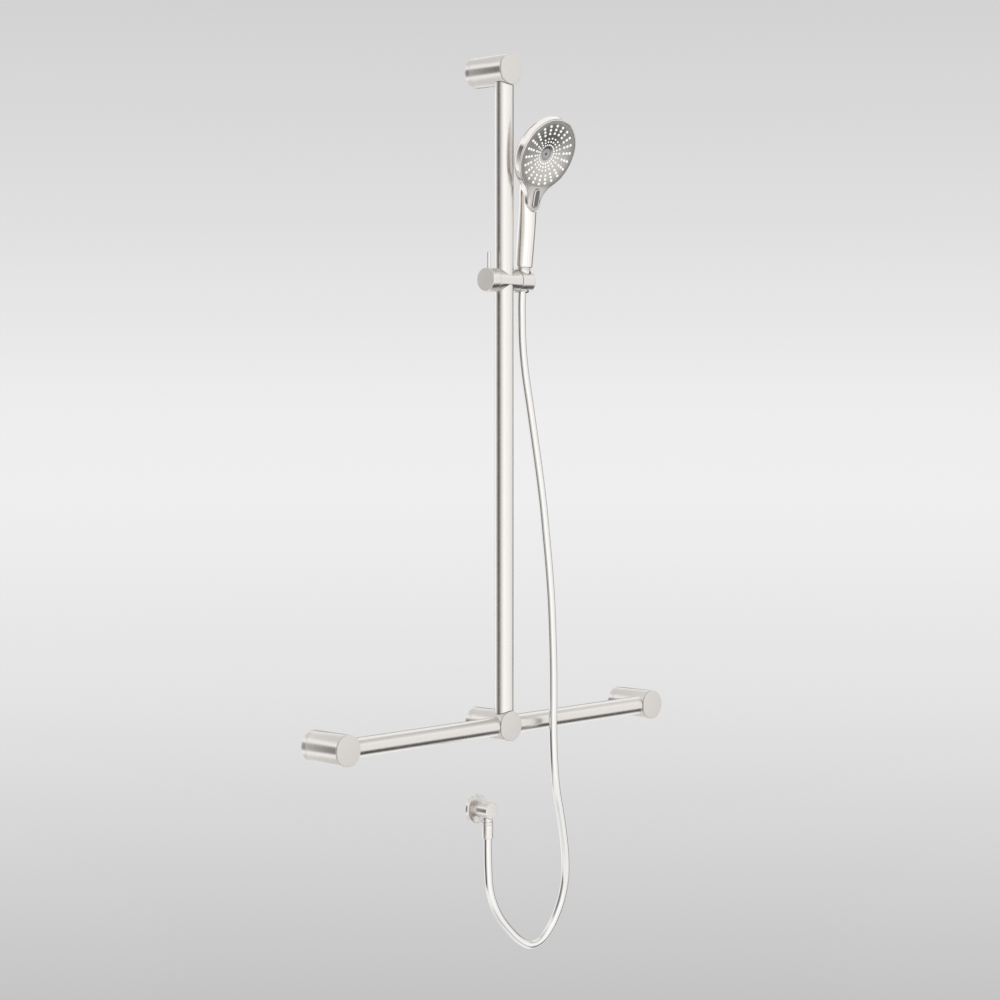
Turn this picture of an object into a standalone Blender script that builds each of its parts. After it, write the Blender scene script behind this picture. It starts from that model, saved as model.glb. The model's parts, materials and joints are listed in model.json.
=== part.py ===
"""Grab rail with a sliding hand shower: an inverted T of two rails on four posts, a slider with a
tilting holder, a hand shower with a spray selector, its hose, and the wall elbow that feeds it.

Frame, in metres: the origin is on the wall plane at the centre post, +X to the right, +Z up.
The wall is the plane Y = 0 and the object stands out from it towards -Y.
"""

import math

import bmesh
import bpy
from mathutils import Matrix, Vector

# --- Driving dimensions ---
GAP = 0.0003  # between pieces that touch
ROUND_STEPS = 24
SMALL_STEPS = 12

RAIL_HEIGHT = 1.100  # centre post to top post
RAIL_HALF_WIDTH = 0.375  # centre post to end post
RAIL_RADIUS = 0.0160
RAIL_WALL = 0.0018
RAIL_AXIS_Y = -0.066  # leaves 50 mm between rail and wall

POST_RADIUS = 0.0255
POST_BORE = 0.0205
POST_FRONT = 0.084  # from the wall to the front of the cap
CAP_THICKNESS = 0.004
PLATE_THICKNESS = 0.009
PLATE_SPIGOT = 0.020
SCREW_SPACING = 0.020
GRUB_DEPTH = 0.0145

SLIDER_Y = -0.064
SLIDER_Z = 0.750
SLIDER_RADIUS = 0.0197
KNOB_LEFT, KNOB_RIGHT = -0.0430, -0.0247
BODY_LEFT, BODY_RIGHT = -0.0244, 0.0290
HOLDER_LEFT, HOLDER_RIGHT = 0.0304, 0.0600
LEVER_X = -0.0350
LEVER_TOP = 0.0464  # above the slider's axis

DOCK = Vector((0.0455, -0.0665, SLIDER_Z))  # centre of the holder's hole
DOCK_LEAN = math.radians(5.5)
NUT_RADIUS = 0.0109  # at the dock's centre
NUT_TAPER = 0.035  # radius gained per metre of height
NUT_BOTTOM, NUT_TOP = -0.0170, 0.0232
INSERT_WALL = 0.0010

HEAD_CENTRE = Vector((0.0455, -0.1246, 0.9575))
HEAD_TILT = math.radians(24.5)
HEAD_RADIUS = 0.0633
NECK_TIP_RADIUS = 0.0144
NECK_TIP_V = -0.0831
NECK_FILLET = 0.0478
NECK_BEND_V = -0.0510  # below this the neck curves forward, to lie on the handle
NECK_BEND = 4.33  # how fast, per metre
FUNNEL_RADIUS = 0.0570
FUNNEL_DEPTH = 0.0048
NOZZLE_RADIUS = 0.0100
BUTTON_V = -0.0749
BUTTON_HALF_LENGTH = 0.0164
BUTTON_HALF_WIDTH = 0.0075

ELBOW_Z = -0.150
ELBOW_OUTLET_Y = -0.028
ELBOW_RADIUS = 0.01425
FLANGE_RADIUS = 0.0250
OUTLET_NUT_RADIUS = 0.00925

HOSE_RADIUS = 0.0070
HOSE_STEP = 0.024
HOSE_SPLIT_Z = 0.427  # where the upper and lower lengths of the hose meet
HOSE_ROUTE = [
    (0.0455, -0.0673, 0.7580), (0.0455, -0.0649, 0.7330), (0.0454, -0.0641, 0.7100),
    (0.0452, -0.0646, 0.6860), (0.0450, -0.0664, 0.6420), (0.0480, -0.0700, 0.5930), (0.0560, -0.0740, 0.5360),
    (0.0630, -0.0780, 0.4820), (0.0700, -0.0820, 0.4270), (0.0755, -0.0860, 0.3730),
    (0.0800, -0.0890, 0.3180), (0.0840, -0.0920, 0.2630), (0.0875, -0.0940, 0.2080),
    (0.0885, -0.0960, 0.1540), (0.0885, -0.0980, 0.0990), (0.0880, -0.0990, 0.0440),
    (0.0870, -0.0995, -0.0140), (0.0890, -0.1000, -0.0690), (0.0950, -0.1000, -0.1180),
    (0.1055, -0.0990, -0.1580), (0.1165, -0.0970, -0.2010), (0.1250, -0.0940, -0.2410),
    (0.1290, -0.0900, -0.2770), (0.1270, -0.0850, -0.3090), (0.1200, -0.0800, -0.3360),
    (0.1085, -0.0740, -0.3620), (0.0920, -0.0670, -0.3820), (0.0720, -0.0600, -0.3880),
    (0.0530, -0.0530, -0.3780), (0.0340, -0.0460, -0.3580), (0.0180, -0.0400, -0.3360),
    (0.0070, -0.0350, -0.3110), (0.0010, -0.0310, -0.2830), (0.0000, -0.0290, -0.2510),
    (0.0000, -0.0280, -0.2210), (0.0000, -0.0280, -0.2000), (0.0000, -0.0280, -0.1850),
]

# --- Orientations: each turns a shape's own +Z to the direction it names ---
UPWARD = (0.0, 0.0, 0.0)
DOWNWARD = (math.pi, 0.0, 0.0)
FROM_WALL = (math.pi / 2, 0.0, 0.0)
RIGHTWARD = (0.0, math.pi / 2, 0.0)
DOCK_UP = (DOCK_LEAN, 0.0, 0.0)
FACE_OUT = (math.pi / 2 + HEAD_TILT, 0.0, 0.0)


# --- Scene, collections and finishes ---
for leftover in list(bpy.data.objects):
    bpy.data.objects.remove(leftover, do_unlink=True)
PARTS = bpy.data.collections.new("grab_rail_shower")
CUTTERS = bpy.data.collections.new("cutters")
CUTTERS.hide_render = True
for collection in (PARTS, CUTTERS):
    bpy.context.scene.collection.children.link(collection)


def finish(name, colour, roughness, metallic):
    material = bpy.data.materials.new(name)
    material.use_nodes = True
    shader = material.node_tree.nodes["Principled BSDF"]
    shader.inputs["Base Color"].default_value = (*colour, 1.0)
    shader.inputs["Roughness"].default_value = roughness
    shader.inputs["Metallic"].default_value = metallic
    material.diffuse_color = (*colour, 1.0)
    return material


BRUSHED = finish("brushed_nickel", (0.66, 0.63, 0.60), 0.32, 1.0)
POLISHED = finish("polished_nickel", (0.72, 0.69, 0.66), 0.10, 1.0)
FACE_GREY = finish("face_grey", (0.52, 0.50, 0.48), 0.35, 0.8)
STEEL = finish("screw_steel", (0.50, 0.50, 0.50), 0.35, 1.0)
BRASS = finish("brass", (0.72, 0.56, 0.28), 0.30, 1.0)
WHITE_RUBBER = finish("white_rubber", (0.88, 0.88, 0.86), 0.60, 0.0)
BLACK_RUBBER = finish("black_rubber", (0.03, 0.03, 0.03), 0.70, 0.0)
GREY_PLASTIC = finish("grey_plastic", (0.34, 0.34, 0.34), 0.45, 0.0)
WHITE_PLASTIC = finish("white_plastic", (0.80, 0.80, 0.78), 0.40, 0.0)
HOSE_PLASTIC = finish("silver_hose", (0.70, 0.69, 0.68), 0.25, 0.6)


# --- Shape helpers ---
def add(name, mesh, material, location=(0, 0, 0), rotation=UPWARD, parent=None):
    """A new object in the parts, or among the cutters when it has no material."""
    shape = bpy.data.objects.new(name, mesh)
    shape.location = location
    shape.rotation_euler = rotation
    shape.parent = parent
    if material:
        mesh.materials.append(material)
        PARTS.objects.link(shape)
    else:
        shape.hide_render = True
        shape.display_type = "WIRE"
        CUTTERS.objects.link(shape)
    return shape


def pivot(name, location, rotation=UPWARD, parent=None):
    """An empty on a joint's axis, for the pieces that turn or slide with it."""
    empty = bpy.data.objects.new(name, None)
    empty.location = location
    empty.rotation_euler = rotation
    empty.parent = parent
    PARTS.objects.link(empty)
    return empty


def turned(name, profile, material, location=(0, 0, 0), rotation=UPWARD, parent=None,
           hollow=False, steps=ROUND_STEPS):
    """A profile of (radius, height) points, top to bottom on its outside, turned about its own Z."""
    mesh = bpy.data.meshes.new(name)
    count = len(profile)
    edges = [(i, i + 1) for i in range(count - 1)] + ([(count - 1, 0)] if hollow else [])
    mesh.from_pydata([(radius, 0.0, height) for radius, height in profile], edges, [])
    shape = add(name, mesh, material, location, rotation, parent)
    screw = shape.modifiers.new("Turn", "SCREW")
    screw.steps = screw.render_steps = steps
    screw.use_merge_vertices = True
    screw.merge_threshold = 0.00001
    screw.use_smooth_shade = True
    return shape


def rod(name, radius, bottom, top, material, location=(0, 0, 0), rotation=UPWARD, parent=None,
        edge=0.0004, steps=ROUND_STEPS):
    """A solid round bar between two heights, with a small chamfer at both ends."""
    profile = [(0, top), (radius - edge, top), (radius, top - edge),
               (radius, bottom + edge), (radius - edge, bottom), (0, bottom)]
    return turned(name, profile, material, location, rotation, parent, steps=steps)


def drill(name, radius, bottom, top, location=(0, 0, 0), rotation=UPWARD, parent=None,
          steps=ROUND_STEPS):
    """A plain round cutter."""
    profile = [(0, top), (radius, top), (radius, bottom), (0, bottom)]
    return turned(name, profile, None, location, rotation, parent, steps=steps)


def ring(name, inner, outer, bottom, top, material, location=(0, 0, 0), rotation=UPWARD,
         parent=None, steps=ROUND_STEPS):
    """A plain sleeve or washer."""
    profile = [(outer, top), (outer, bottom), (inner, bottom), (inner, top)]
    return turned(name, profile, material, location, rotation, parent, hollow=True, steps=steps)


def loft(name, sections, material, location=(0, 0, 0), rotation=UPWARD, parent=None, hollow=False):
    """A skin over closed sections with equal numbers of points, with a flat cap at each end.

    A hollow one has no caps: its last section runs on into its first, as in a ring.
    """
    shell = bmesh.new()
    rows = [[shell.verts.new(point) for point in section] for section in sections]
    count = len(rows[0])
    for lower, upper in zip(rows, rows[1:] + (rows[:1] if hollow else [])):
        for i in range(count):
            j = (i + 1) % count
            shell.faces.new((lower[i], lower[j], upper[j], upper[i]))
    if not hollow:
        shell.faces.new(rows[0])
        shell.faces.new(rows[-1])
    bmesh.ops.recalc_face_normals(shell, faces=shell.faces)
    mesh = bpy.data.meshes.new(name)
    shell.to_mesh(mesh)
    shell.free()
    mesh.shade_smooth()
    mesh.set_sharp_from_angle(angle=math.radians(35))
    return add(name, mesh, material, location, rotation, parent)


def box(name, centre, size, parent=None, material=None):
    shell = bmesh.new()
    bmesh.ops.create_cube(shell, size=1.0, matrix=Matrix.Diagonal((*size, 1.0)))
    mesh = bpy.data.meshes.new(name)
    shell.to_mesh(mesh)
    shell.free()
    return add(name, mesh, material, centre, UPWARD, parent)


def boolean(shape, other, operation):
    modifier = shape.modifiers.new(f"{operation.title()} {other.name}", "BOOLEAN")
    modifier.operation = operation
    modifier.object = other
    modifier.solver = "EXACT"


def cut(shape, *others):
    for other in others:
        boolean(shape, other, "DIFFERENCE")


def join(shape, *others):
    for other in others:
        boolean(shape, other, "UNION")


def smooth_points(route, step):
    """Points about one step apart on a smooth curve through the route."""
    dense = []
    ends = [2 * route[0] - route[1]] + route + [2 * route[-1] - route[-2]]
    for before, here, there, after in zip(ends, ends[1:], ends[2:], ends[3:]):
        for k in range(20):
            t = k / 20
            dense.append(0.5 * (2 * here + (there - before) * t
                                + (2 * before - 5 * here + 4 * there - after) * t ** 2
                                + (3 * here - before - 3 * there + after) * t ** 3))
    dense.append(route[-1])
    kept, run = [dense[0]], 0.0
    for here, there in zip(dense, dense[1:]):
        run += (there - here).length
        if run >= step:
            kept.append(there)
            run = 0.0
    kept[-1] = dense[-1]
    return kept


def tube_along(name, points, radius, material, bevel_resolution=2):
    curve = bpy.data.curves.new(name, "CURVE")
    curve.dimensions = "3D"
    curve.bevel_depth = radius
    curve.bevel_resolution = bevel_resolution
    curve.use_fill_caps = True
    spline = curve.splines.new("POLY")
    spline.points.add(len(points) - 1)
    for target, point in zip(spline.points, points):
        target.co = (*point, 1.0)
    return add(name, curve, material)


# --- Posts: a plate on the wall, a sleeve over its spigot, a cap, a grub screw, two wall screws ---
def make_post(place, x, z):
    spot = (x, 0.0, z)
    cap_back = POST_FRONT - CAP_THICKNESS
    post = turned(f"post_{place}", [
        (POST_RADIUS - 0.0005, cap_back - GAP), (POST_RADIUS, cap_back - GAP - 0.0005),
        (POST_RADIUS, PLATE_THICKNESS + GAP), (POST_BORE, PLATE_THICKNESS + GAP),
        (POST_BORE, cap_back - GAP)], BRUSHED, spot, FROM_WALL, hollow=True)
    turned(f"cap_{place}", [
        (0, POST_FRONT), (POST_RADIUS - 0.0014, POST_FRONT), (POST_RADIUS - 0.0002, POST_FRONT - 0.0010),
        (POST_RADIUS - 0.0002, cap_back + 0.0008), (POST_RADIUS - 0.0012, cap_back),
        (POST_BORE - 0.0005, cap_back), (POST_BORE - 0.0005, cap_back - 0.0060),
        (0, cap_back - 0.0060)], BRUSHED, spot, FROM_WALL)
    plate = turned(f"wall_plate_{place}", [
        (0, PLATE_SPIGOT), (POST_BORE - 0.0003, PLATE_SPIGOT), (POST_BORE - 0.0003, PLATE_THICKNESS),
        (POST_RADIUS - 0.0004, PLATE_THICKNESS), (POST_RADIUS, PLATE_THICKNESS - 0.0004),
        (POST_RADIUS, 0), (0, 0)],
        BRUSHED, spot, FROM_WALL)
    grub_spot = (x, -GRUB_DEPTH, z)
    grub_hole = drill(f"grub_hole_{place}", 0.0028, 0.0162, 0.0300, grub_spot, DOWNWARD,
                      steps=SMALL_STEPS)
    cut(post, grub_hole)
    cut(plate, grub_hole)
    grub = rod(f"grub_screw_{place}", 0.0025, 0.0165, 0.0250, STEEL, grub_spot, DOWNWARD,
               steps=SMALL_STEPS)
    cut(grub, drill(f"grub_socket_{place}", 0.0014, 0.0220, 0.0270, grub_spot, DOWNWARD, steps=6))
    for side, offset in (("left", -SCREW_SPACING / 2), ("right", SCREW_SPACING / 2)):
        screw_spot = (x + offset, 0.0, z)
        cut(plate, drill(f"screw_hole_{place}_{side}", 0.0027, -0.0100, 0.0300, screw_spot,
                         FROM_WALL, steps=SMALL_STEPS))
        turned(f"wall_screw_{place}_{side}", [
            (0, PLATE_SPIGOT + 0.0032), (0.0038, PLATE_SPIGOT + 0.0032),
            (0.0045, PLATE_SPIGOT + GAP), (0.0024, PLATE_SPIGOT + GAP), (0.0024, GAP), (0, GAP)],
            STEEL, screw_spot, FROM_WALL, steps=SMALL_STEPS)
    return drill(f"cope_{place}", POST_RADIUS + GAP, -0.010, 0.120, spot, FROM_WALL)


copes = {place: make_post(place, x, z) for place, x, z in (
    ("center", 0.0, 0.0), ("top", 0.0, RAIL_HEIGHT),
    ("left", -RAIL_HALF_WIDTH, 0.0), ("right", RAIL_HALF_WIDTH, 0.0))}


# --- Rails: tubes whose ends are coped to the round of the posts ---
def make_rail(name, start, rotation, length, first, last):
    inside = 0.012
    rail = ring(name, RAIL_RADIUS - RAIL_WALL, RAIL_RADIUS, inside, length - inside, BRUSHED,
                start, rotation)
    cut(rail, copes[first], copes[last])


make_rail("vertical_rail", (0, RAIL_AXIS_Y, 0), UPWARD, RAIL_HEIGHT, "center", "top")
make_rail("horizontal_rail_left", (-RAIL_HALF_WIDTH, RAIL_AXIS_Y, 0), RIGHTWARD, RAIL_HALF_WIDTH,
          "left", "center")
make_rail("horizontal_rail_right", (0, RAIL_AXIS_Y, 0), RIGHTWARD, RAIL_HALF_WIDTH,
          "center", "right")

# --- Slider: body, guide pad, and the clamp of knob, lever, spindle and shoe ---
slider = pivot("slider_slide", (0, SLIDER_Y, SLIDER_Z))
knob_axis = pivot("knob_turn", (0, 0, 0), RIGHTWARD, slider)
rail_offset = (0, RAIL_AXIS_Y - SLIDER_Y, 0)
rail_clearance = drill("rail_clearance", RAIL_RADIUS + GAP, -0.040, 0.040, rail_offset,
                       parent=slider)
shoe_pocket = drill("shoe_pocket", 0.0063, -0.0196, -0.0100, (0, 0, 0), parent=knob_axis,
                    steps=SMALL_STEPS)
spindle_bore = drill("spindle_bore", 0.0033, -0.0318, -0.0150, (0, 0, 0), parent=knob_axis,
                     steps=SMALL_STEPS)
axle_bore = drill("axle_bore", 0.0053, 0.0205, 0.0322, (0, 0, 0), parent=knob_axis,
                  steps=SMALL_STEPS)
pad_pocket = box("pad_pocket", (0.0145, 0, 0), (0.0090, 0.0120, 0.0160), slider)

slider_body = rod("slider_body", SLIDER_RADIUS, BODY_LEFT, BODY_RIGHT, BRUSHED, parent=knob_axis)
cut(slider_body, rail_clearance, shoe_pocket, spindle_bore, axle_bore, pad_pocket)

guide_pad = box("guide_pad", (0.01665, 0, 0), (0.0041, 0.0114, 0.0154), slider, WHITE_PLASTIC)
cut(guide_pad, rail_clearance)

clamp_knob = turned("clamp_knob", [
    (0, KNOB_RIGHT), (SLIDER_RADIUS - 0.0003, KNOB_RIGHT), (SLIDER_RADIUS, KNOB_RIGHT - 0.0003),
    (SLIDER_RADIUS, KNOB_LEFT + 0.0008), (SLIDER_RADIUS - 0.0010, KNOB_LEFT), (0, KNOB_LEFT)],
    BRUSHED, parent=knob_axis)
lever_hole = drill("lever_hole", 0.0028, 0.0100, 0.0300, (LEVER_X, 0, 0), parent=slider,
                   steps=SMALL_STEPS)
cut(clamp_knob, spindle_bore, lever_hole)
turned("clamp_lever", [
    (0, LEVER_TOP), (0.0015, LEVER_TOP - 0.0002), (0.0025, LEVER_TOP - 0.0014), (0.0025, 0.0103),
    (0, 0.0103)], BRUSHED, (LEVER_X, 0, 0), parent=slider, steps=SMALL_STEPS)
rod("clamp_spindle", 0.0030, -0.0314, -0.0194, STEEL, parent=knob_axis, steps=SMALL_STEPS)
clamp_shoe = rod("clamp_shoe", 0.0060, -0.0186, -0.0120, WHITE_PLASTIC, parent=knob_axis,
                 steps=SMALL_STEPS)
cut(clamp_shoe, rail_clearance)

# --- Holder: it tilts on an axle fixed in the slider body, against a friction washer ---
holder_tilt = pivot("holder_tilt", (0, 0, 0), RIGHTWARD, slider)
rod("holder_axle", 0.0050, 0.0208, 0.0318, STEEL, parent=knob_axis, steps=SMALL_STEPS)
ring("holder_washer", 0.0055, 0.0175, BODY_RIGHT + GAP, HOLDER_LEFT - GAP, BLACK_RUBBER,
     parent=holder_tilt)


def dock_cone(extra, height):
    return NUT_RADIUS + extra + NUT_TAPER * height


holder = turned("holder", [
    (0, HOLDER_RIGHT), (SLIDER_RADIUS - 0.0010, HOLDER_RIGHT), (SLIDER_RADIUS, HOLDER_RIGHT - 0.0008),
    (SLIDER_RADIUS, HOLDER_LEFT + 0.0003), (SLIDER_RADIUS - 0.0003, HOLDER_LEFT), (0, HOLDER_LEFT)],
    BRUSHED, parent=holder_tilt)
dock = pivot("handset_swivel", DOCK, DOCK_UP)
hole_extra = 2 * GAP + INSERT_WALL
cut(holder, turned("dock_hole", [
    (0, 0.030), (dock_cone(hole_extra, 0.030), 0.030), (dock_cone(hole_extra, -0.030), -0.030),
    (0, -0.030)], None, parent=dock), axle_bore)
insert_end = 0.0240
holder_insert = turned("holder_insert", [
    (dock_cone(GAP + INSERT_WALL, insert_end), insert_end),
    (dock_cone(GAP + INSERT_WALL, -insert_end), -insert_end),
    (dock_cone(GAP, -insert_end), -insert_end), (dock_cone(GAP, insert_end), insert_end)],
    GREY_PLASTIC, parent=dock, hollow=True)
boolean(holder_insert, drill("insert_trim", SLIDER_RADIUS - 0.0005, HOLDER_LEFT - 0.01,
                             HOLDER_RIGHT + 0.01, parent=holder_tilt), "INTERSECT")

# --- Hose end: the conical nut that sits in the holder, and its washer ---
NUT_SHOULDER = 0.0120
turned("hose_cone_nut", [
    (dock_cone(-0.0004, NUT_TOP), NUT_TOP), (dock_cone(0, NUT_TOP - 0.0006), NUT_TOP - 0.0006),
    (dock_cone(0, NUT_BOTTOM + 0.0006), NUT_BOTTOM + 0.0006), (dock_cone(-0.0006, NUT_BOTTOM), NUT_BOTTOM),
    (HOSE_RADIUS + 0.0004, NUT_BOTTOM), (HOSE_RADIUS + 0.0004, NUT_SHOULDER),
    (0.0102, NUT_SHOULDER), (0.0102, NUT_TOP)], BRUSHED, parent=dock, hollow=True)
ring("hose_washer_top", 0.0050, 0.0097, NUT_SHOULDER + GAP, 0.0140, BLACK_RUBBER, parent=dock,
     steps=SMALL_STEPS)


# --- Hand shower: shell, face and waterway ---
def neck_lift(v):
    """How far the curving neck stands in front of the face's plane."""
    return NECK_BEND * max(0.0, NECK_BEND_V - v) ** 2


def bent(x, v, height):
    return Vector((x, v, height + neck_lift(v)))


def head_outline(inset, height, big_arc=30, fillet_arc=5, tip_arc=8):
    """The face's outline in the head's own frame: a circle, a hollow fillet each side, a round tip."""
    reach, span = HEAD_RADIUS + NECK_FILLET, NECK_TIP_RADIUS + NECK_FILLET
    fillet_v = (reach ** 2 - span ** 2 + NECK_TIP_V ** 2) / (2 * NECK_TIP_V)
    fillet_x = math.sqrt(reach ** 2 - fillet_v ** 2)
    tangent = math.atan2(fillet_v, fillet_x)
    tip_tangent = math.atan2(fillet_v - NECK_TIP_V, fillet_x)

    def arc(centre, radius, start, end, count):
        return [bent(centre[0] + radius * math.cos(start + (end - start) * i / count),
                     centre[1] + radius * math.sin(start + (end - start) * i / count), height)
                for i in range(count)]

    return (
        arc((0, 0), HEAD_RADIUS - inset, tangent, math.pi - tangent, big_arc)
        + arc((-fillet_x, fillet_v), NECK_FILLET + inset, -tangent, -tip_tangent, fillet_arc)
        + arc((0, NECK_TIP_V), NECK_TIP_RADIUS - inset, math.pi - tip_tangent,
              2 * math.pi + tip_tangent, tip_arc)
        + arc((fillet_x, fillet_v), NECK_FILLET + inset, math.pi + tip_tangent, math.pi + tangent,
              fillet_arc))


def stadium(half_length, half_width, height, arc_steps=6):
    """A slot's outline, round at both ends, about the button's centre."""
    straight = half_length - half_width
    points = []
    for sign, start in ((1, 0.0), (-1, math.pi)):
        for i in range(arc_steps + 1):
            angle = start + math.pi * i / arc_steps
            points.append(bent(half_width * math.cos(angle),
                               BUTTON_V + sign * straight + half_width * math.sin(angle), height))
    return points


def handle_section(y, z, tilt, half_width, half_depth, count=24):
    turn = Matrix.Rotation(tilt, 3, "X")
    return [Vector((DOCK.x, y, z)) + turn @ Vector((half_width * math.cos(math.tau * i / count),
                                                    half_depth * math.sin(math.tau * i / count), 0))
            for i in range(count)]


head = pivot("head_frame", HEAD_CENTRE, FACE_OUT)
handset_shell = loft("handset_shell", [head_outline(inset, height) for height, inset in (
    (-0.0010, -0.0005), (-0.0020, -0.0008), (-0.0110, -0.0008), (-0.0150, 0.0005),
    (-0.0180, 0.0032), (-0.0200, 0.0070), (-0.0210, 0.0125))], POLISHED, parent=head)
handle = loft("handle_form", [handle_section(y, z, math.radians(lean), half_width, half_depth)
                              for y, z, lean, half_width, half_depth in (
    (-0.0688, 0.7740, 5.5, 0.0138, 0.0138), (-0.0689, 0.7750, 5.5, 0.0146, 0.0146),
    (-0.0713, 0.8000, 5.5, 0.0150, 0.0150), (-0.0738, 0.8260, 5.5, 0.0153, 0.0152),
    (-0.0756, 0.8450, 5.5, 0.0156, 0.0150), (-0.0769, 0.8590, 6.5, 0.0160, 0.0143),
    (-0.0782, 0.8710, 9.0, 0.0167, 0.0136), (-0.0797, 0.8850, 12.0, 0.0180, 0.0135),
    (-0.0811, 0.8980, 18.0, 0.0200, 0.0135), (-0.0835, 0.9120, 22.0, 0.0222, 0.0125),
    (-0.0905, 0.9270, 24.5, 0.0240, 0.0095), (-0.1015, 0.9430, 24.5, 0.0260, 0.0060))], None)
cavity = loft("head_cavity", [head_outline(inset, height) for height, inset in (
    (0.0050, 0.0003), (-0.0033, 0.0003), (-0.0033, 0.0030), (-0.0140, 0.0032),
    (-0.0170, 0.0065), (-0.0185, 0.0120))], None, parent=head)
join(handset_shell, handle)
cut(handset_shell, cavity, drill("handle_bore", 0.0095, 0.0100, 0.1450, parent=dock, steps=32))


def funnel(radius):
    """Height of the dished face at a radius: level at the rim, deepest at the centre nozzle."""
    inner = NOZZLE_RADIUS + 0.0010
    slope = max(0.0, 1 - (radius - inner) / (FUNNEL_RADIUS - inner))
    return -FUNNEL_DEPTH * min(slope, 1.0) ** 1.6


def funnel_profile(first, last, drop, count=4):
    radii = [first + (last - first) * i / count for i in range(count + 1)]
    return [(radius, funnel(radius) - drop) for radius in radii]


loft("face_bezel", [head_outline(inset, height) for height, inset in (
    (-0.0030, 0.0006), (-0.0004, 0.0006), (0.0004, 0.0014), (0.0004, 0.0024), (-0.0030, 0.0024))],
     POLISHED, parent=head, hollow=True)

FACE_WALL = 0.0022
centre_bore = NOZZLE_RADIUS + 0.0004
face_edge = head_outline(0.0027, 0.0)
face_plate = loft("face_plate", [[bent(share * point.x, share * point.y, height) for point in face_edge]
                                 for height, share in (
    (-0.0023, 0.12), (-0.0023, 0.60), (-0.0023, 0.75), (-0.0023, 0.88), (-0.0023, 1.0),
    (-0.0002, 1.0), (-0.0002, 0.88), (-0.0002, 0.75), (-0.0002, 0.60), (-0.0002, 0.12))],
    FACE_GREY, parent=head)
dish = turned("face_dish", [(0, 0.004), (FUNNEL_RADIUS, 0.004)] + funnel_profile(
    FUNNEL_RADIUS, centre_bore, 0.0002) + [(0, funnel(0) - 0.0002)], None, parent=head)
dish_wall = turned("face_dish_wall", funnel_profile(centre_bore, 0.0500, 0.0002)[::-1] + funnel_profile(
    centre_bore, 0.0500, FACE_WALL), None, parent=head, hollow=True)
dish_wall.modifiers["Turn"].use_normal_flip = True
cut(face_plate, dish)
join(face_plate, dish_wall)
cut(face_plate, drill("centre_hole", centre_bore, -0.020, 0.010, parent=head),
    loft("button_slot", [stadium(BUTTON_HALF_LENGTH + GAP, BUTTON_HALF_WIDTH + GAP, height)
                         for height in (-0.010, 0.010)], None, parent=head))

mat_front, mat_back = FACE_WALL + GAP, FACE_WALL + 0.0020
turned("nozzle_mat", funnel_profile(0.0530, centre_bore, mat_front)
       + funnel_profile(centre_bore, 0.0530, mat_back), WHITE_RUBBER, parent=head,
       hollow=True).modifiers["Turn"].use_normal_flip = True
turned("water_chamber", [
    (0.0480, -0.0103), (0.0510, -0.0103), (0.0510, -0.0160), (0, -0.0160), (0, -0.0130),
    (0.0480, -0.0130)], WHITE_PLASTIC, parent=head, hollow=True)
turned("center_nozzle", [
    (0.0012, -0.0060), (NOZZLE_RADIUS - 0.0010, -0.0060), (NOZZLE_RADIUS, -0.0066),
    (NOZZLE_RADIUS, -0.0098), (0.0012, -0.0098)], GREY_PLASTIC, parent=head, hollow=True)

# --- Spray selector in the neck: surround, button, spring, stem and its housing ---
loft("button_surround", [
    stadium(BUTTON_HALF_LENGTH - inset, BUTTON_HALF_WIDTH - inset, height) for height, inset in (
        (-0.0040, 0.0), (0.0, 0.0), (0.0004, 0.0003), (0.0004, 0.0009), (-0.0040, 0.0009))],
     POLISHED, parent=head, hollow=True)
button_press = pivot("button_press", (0, BUTTON_V, neck_lift(BUTTON_V)), parent=head)
selector_button = loft("selector_button", [
    stadium(BUTTON_HALF_LENGTH - inset, BUTTON_HALF_WIDTH - inset, height) for height, inset in (
        (-0.0040, 0.0012), (0.0018, 0.0012), (0.0026, 0.0019), (0.0030, 0.0034))],
    GREY_PLASTIC, parent=head)
rod("diverter_stem", 0.0021, -0.0140, -0.0043, STEEL, parent=button_press, steps=SMALL_STEPS,
    edge=0.0002)
ring("diverter_housing", 0.0026, 0.0075, -0.0168, -0.0094, WHITE_PLASTIC, parent=button_press,
     steps=SMALL_STEPS)

SPRING_TURNS, SPRING_POINTS = 3.5, 10
spring_points = []
for i in range(int(SPRING_TURNS * SPRING_POINTS) + 1):
    angle = math.tau * i / SPRING_POINTS
    rise = i / (SPRING_TURNS * SPRING_POINTS)
    spring_points.append(Vector((0.0036 * math.cos(angle), 0.0036 * math.sin(angle),
                                 -0.0088 + 0.0040 * rise)))
spring = tube_along("button_spring", spring_points, 0.0003, STEEL, bevel_resolution=1)
spring.parent = button_press

# --- Handle's waterway: connector, regulator and inner tube ---
turned("inlet_connector", [
    (0.0088, 0.0420), (0.0091, 0.0417), (0.0091, 0.0236), (0.0099, 0.0236), (0.0099, 0.0145),
    (0.0096, 0.0143), (0.0066, 0.0143), (0.0066, 0.0420)], BRASS, parent=dock, hollow=True,
    steps=32)
ring("flow_regulator", 0.0015, 0.0062, 0.0160, 0.0190, GREY_PLASTIC, parent=dock,
     steps=SMALL_STEPS)
ring("water_tube", 0.0048, 0.0062, 0.0340, 0.1150, WHITE_PLASTIC, parent=dock, steps=SMALL_STEPS)

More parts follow.
